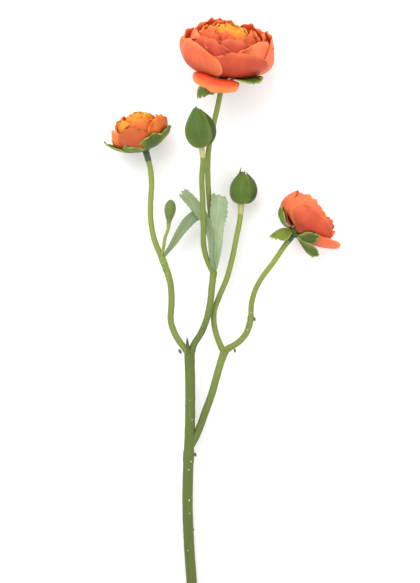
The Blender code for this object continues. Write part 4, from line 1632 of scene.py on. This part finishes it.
def right_flower() -> Flower:
    """The flower on the right, which leans away and shows its back.

    Returns:
        The flower.
    """
    bowl = Bowl(21.5, 12.5, 30.0)
    lip = [(3.7, -1.2), (9, -0.6), (15.6, 2.6), (20, 5.4), (24, 8.2), (27.8, 11.0), (31, 13.6)]
    return Flower(
        "right_flower", RIGHT, bowl, petals=12, solid_petals=4, first_turn=68, spreads=(57, 50),
        reaches=(110, 132), inner_shell=6.0, outer_finish=CORAL, inner_finish=WARM_CORAL, seed=13, flare=0.4,
        tweaks={
            0: Tweak(belly=1.8, flare=1.4, spread=54, tint=0.3),
            1: Tweak(reach=12, belly=2.6, flare=1.0, tint=0.8), 2: Tweak(belly=1.6, flare=1.4),
            3: Tweak(reach=8, belly=3.0, flare=1.2, tint=0.9), 5: Tweak(flare=1.0),
        },
        rosette=Rosette(9, 10.4, 3.4, 10.0, 6.5, 16.0, 19.5, start=45, seed=6),
        lip=Sheet(20, 37, through(lip), corner=0.4, tip=0.9, wave=0.4, waves=1.6, belly=0.4, seed=9),
        lip_finish=SIDE_LIP,
        sepals=[
            sepal(22, 22, [(3.7, -2.6), (9, -3.4), (14, -3.4), (19, -2.8), (25, -1.8)], 41, twist=2.6,
                  tint=0.6),
            sepal(54, 19, [(3.7, -1.6), (9, -1.8), (15, -0.1), (20, 3.3), (23.5, 7.1)], 42, twist=0.8,
                  tint=0.4),
            sepal(132, 40, [(3.7, -1.6), (7, -3.4), (9.6, -7.4), (10.8, -12), (11.4, -17)], 43, Cut.TORN,
                  skew=-0.1, tint=1.0),
            sepal(168, 30, [(3.7, -1.6), (9, -2.0), (14, -1.2), (17.8, 1.2), (20, 5.8)], 44, Cut.OVATE,
                  tint=0.9),
            sepal(262, 26, bowl.shell(-1.2, 52), 45),
        ])


def buds() -> list[Bud]:
    """The two big buds."""
    return [
        Bud("large_bud", LARGE_BUD,
            [(2.2, 1.2), (5.8, 3.2), (8.2, 8.0), (8.3, 13.0), (6.5, 18.2), (3.6, 23.4), (1.3, 27.0),
             (0, 28.6)],
            # Painted shade: in both buds the sepal at about 350 degrees gets a low per-piece value, so that
            # it reads as the dark, shadowed back sepal beside the front sepal's edge.
            [BudSepal(98, 80, 1.0, 1.8, tint=0.6), BudSepal(222, 66, 0.95, 1.2),
             BudSepal(352, 62, 0.93, 1.0, tint=0.0, belly=2.4)]),
        Bud("right_bud", RIGHT_BUD,
            [(2.2, 0), (5.2, 1.6), (7.2, 5.4), (7.4, 9.5), (6.0, 14.0), (3.6, 18.0), (1.5, 20.8), (0, 22.0)],
            [BudSepal(99, 76, 0.95, 1.3, tint=0.75), BudSepal(232, 66, 0.97, 1.0),
             BudSepal(354, 62, 0.95, 1.0, tint=0.2, belly=2.4)]),
    ]


def leaves() -> list[Leaf]:
    """The three toothed blades."""
    return [
        Leaf("leaf_right", [
            (-7.0, 37.0, 17.6), (-6.0, 44.0, 20.4), (-5.4, 54.0, 21.6), (-5.4, 66.0, 21.9),
            (-4.4, 78.0, 22.4), (-3.6, 90.0, 24.0),
        ], [(1.3, 1.3), (2.6, 2.8), (4.2, 4.4), (5.4, 5.4), (6.2, 7.2), (5.4, 6.8)], 4,
            [1.5, 2.5, 1.0, 1.8, 0.2, 0.8, -2.5], LeafFinish("right_leaf_skin"), 5),
        Leaf("leaf_middle", [
            (-7.4, 36.0, 17.4), (-8.2, 43.0, 22.0), (-9.2, 52.0, 23.8), (-9.6, 62.0, 23.9),
            (-12.0, 72.0, 23.5), (-17.0, 80.0, 22.4), (-22.6, 87.0, 22.0), (-28.6, 93.0, 22.6),
        ], [(1.0, 1.0), (1.3, 1.3), (1.6, 1.6), (2.4, 2.0), (4.2, 3.6), (4.6, 4.2), (4.0, 4.0)], 6,
            [-1.0, 1.5, -0.5, 2.0, 0.0, 1.5, -1.5],
            LeafFinish("middle_leaf_skin", pale=(0.235, 0.295, 0.14)), 6),
        Leaf("leaf_left", [
            (-44.0, 46.5, 14.3), (-40.2, 51.0, 15.2), (-36.0, 57.0, 17.0), (-30.4, 66.0, 18.6),
            (-24.4, 73.6, 18.8), (-18.8, 78.0, 18.6),
        ], [(1.0, 1.0), (1.6, 1.6), (2.4, 2.6), (3.3, 3.6), (4.0, 4.4), (3.8, 4.2)], 10,
            [-1.5, 1.0, 0.0, 2.0, -0.5, 1.5, -1.0], LeafFinish("left_leaf_skin", pale=(0.17, 0.23, 0.11)), 7),
    ]


def small_bud() -> None:
    """The small smooth bud."""
    outline = [(0, -1.0), (1.3, -0.9), (1.6, 1.0), (2.3, 3.2), (3.5, 6.6), (4.05, 9.8), (3.7, 12.8),
               (2.5, 15.2), (1.1, 16.4), (0, 16.8)]
    present(lathe("small_bud_skin", SMALL_BUD, outline, SMALL_BUD_SKIN.material()), Slot.BUD, "small_bud")


@dataclass
class Studio:
    """The floor, the light and the camera that looks straight down on the laid-down spray."""

    distance: float = 4.0
    height: float = 0.02
    view_height: float = 0.408
    centre: tuple[float, float] = (-9.8, 23.8)
    reach: float = 3.0

    def floor(self) -> None:
        """A plain pale floor under the spray."""
        mesh, r = bpy.data.meshes.new("studio_floor"), self.reach
        mesh.from_pydata([(-r, -r, 0), (r, -r, 0), (r, r, 0), (-r, r, 0)], [], [(0, 1, 2, 3)])
        paper = PlainFinish("studio_floor_paper", (0.90, 0.90, 0.90), (0.92, 0.92, 0.92), 60.0, 0.9, 0.1)
        mesh.materials.append(paper.material())
        in_scene("studio_floor", mesh)

    def light(self) -> None:
        """Soft light from all round, with a large panel beyond the flowers."""
        world = bpy.data.worlds.new("studio_air")
        bpy.context.scene.world = world
        world.use_nodes = True
        air = world.node_tree.nodes["Background"].inputs
        air["Color"].default_value, air["Strength"].default_value = (1.0, 1.0, 1.0, 1.0), 1.2
        for name, power, size, spot in (("key_panel", 9.0, 0.9, (-0.35, 0.75, 0.95)),
                                        ("fill_panel", 3.0, 1.2, (0.6, -0.2, 1.3))):
            lamp = bpy.data.lights.new(name, "AREA")
            lamp.energy, lamp.size = power, size
            made = in_scene(name, lamp)
            made.location, made.rotation_mode = spot, "QUATERNION"
            made.rotation_quaternion = (-Vector(spot)).to_track_quat("-Z", "Y")
        bpy.context.scene.view_settings.view_transform = "Standard"

    def camera(self) -> None:
        """The camera, straight above, with the stem's cut end towards the bottom."""
        lens = bpy.data.cameras.new("overhead_camera")
        lens.type, lens.sensor_width, lens.sensor_fit = "PERSP", 36.0, "AUTO"
        lens.lens = lens.sensor_width * self.distance / self.view_height
        lens.clip_end = 20.0
        made = in_scene("overhead_camera", lens)
        x, y, _ = LAYOUT.metres(np.array([*self.centre, 0.0]))
        made.location = (x, y, self.height + self.distance)
        bpy.context.scene.camera = made


def main() -> None:
    """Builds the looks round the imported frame."""
    logging.basicConfig(level=logging.INFO, format="%(name)s: %(message)s")
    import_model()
    LAYOUT.settle()
    studio = Studio()
    studio.floor()
    studio.light()
    studio.camera()
    stalk, spiral, beads = stalk_tree(), rosette_tree(), nub_tree()
    for piece in lower_stalks() + upper_stalks() + spurs():
        piece.build(stalk)
    for group in nubs():
        group.build(beads)
    for solid in leaves() + buds():
        solid.build()
    small_bud()
    for flower in (top_flower(), left_flower(), right_flower()):
        flower.build(spiral)


if __name__ == "__main__":
    main()
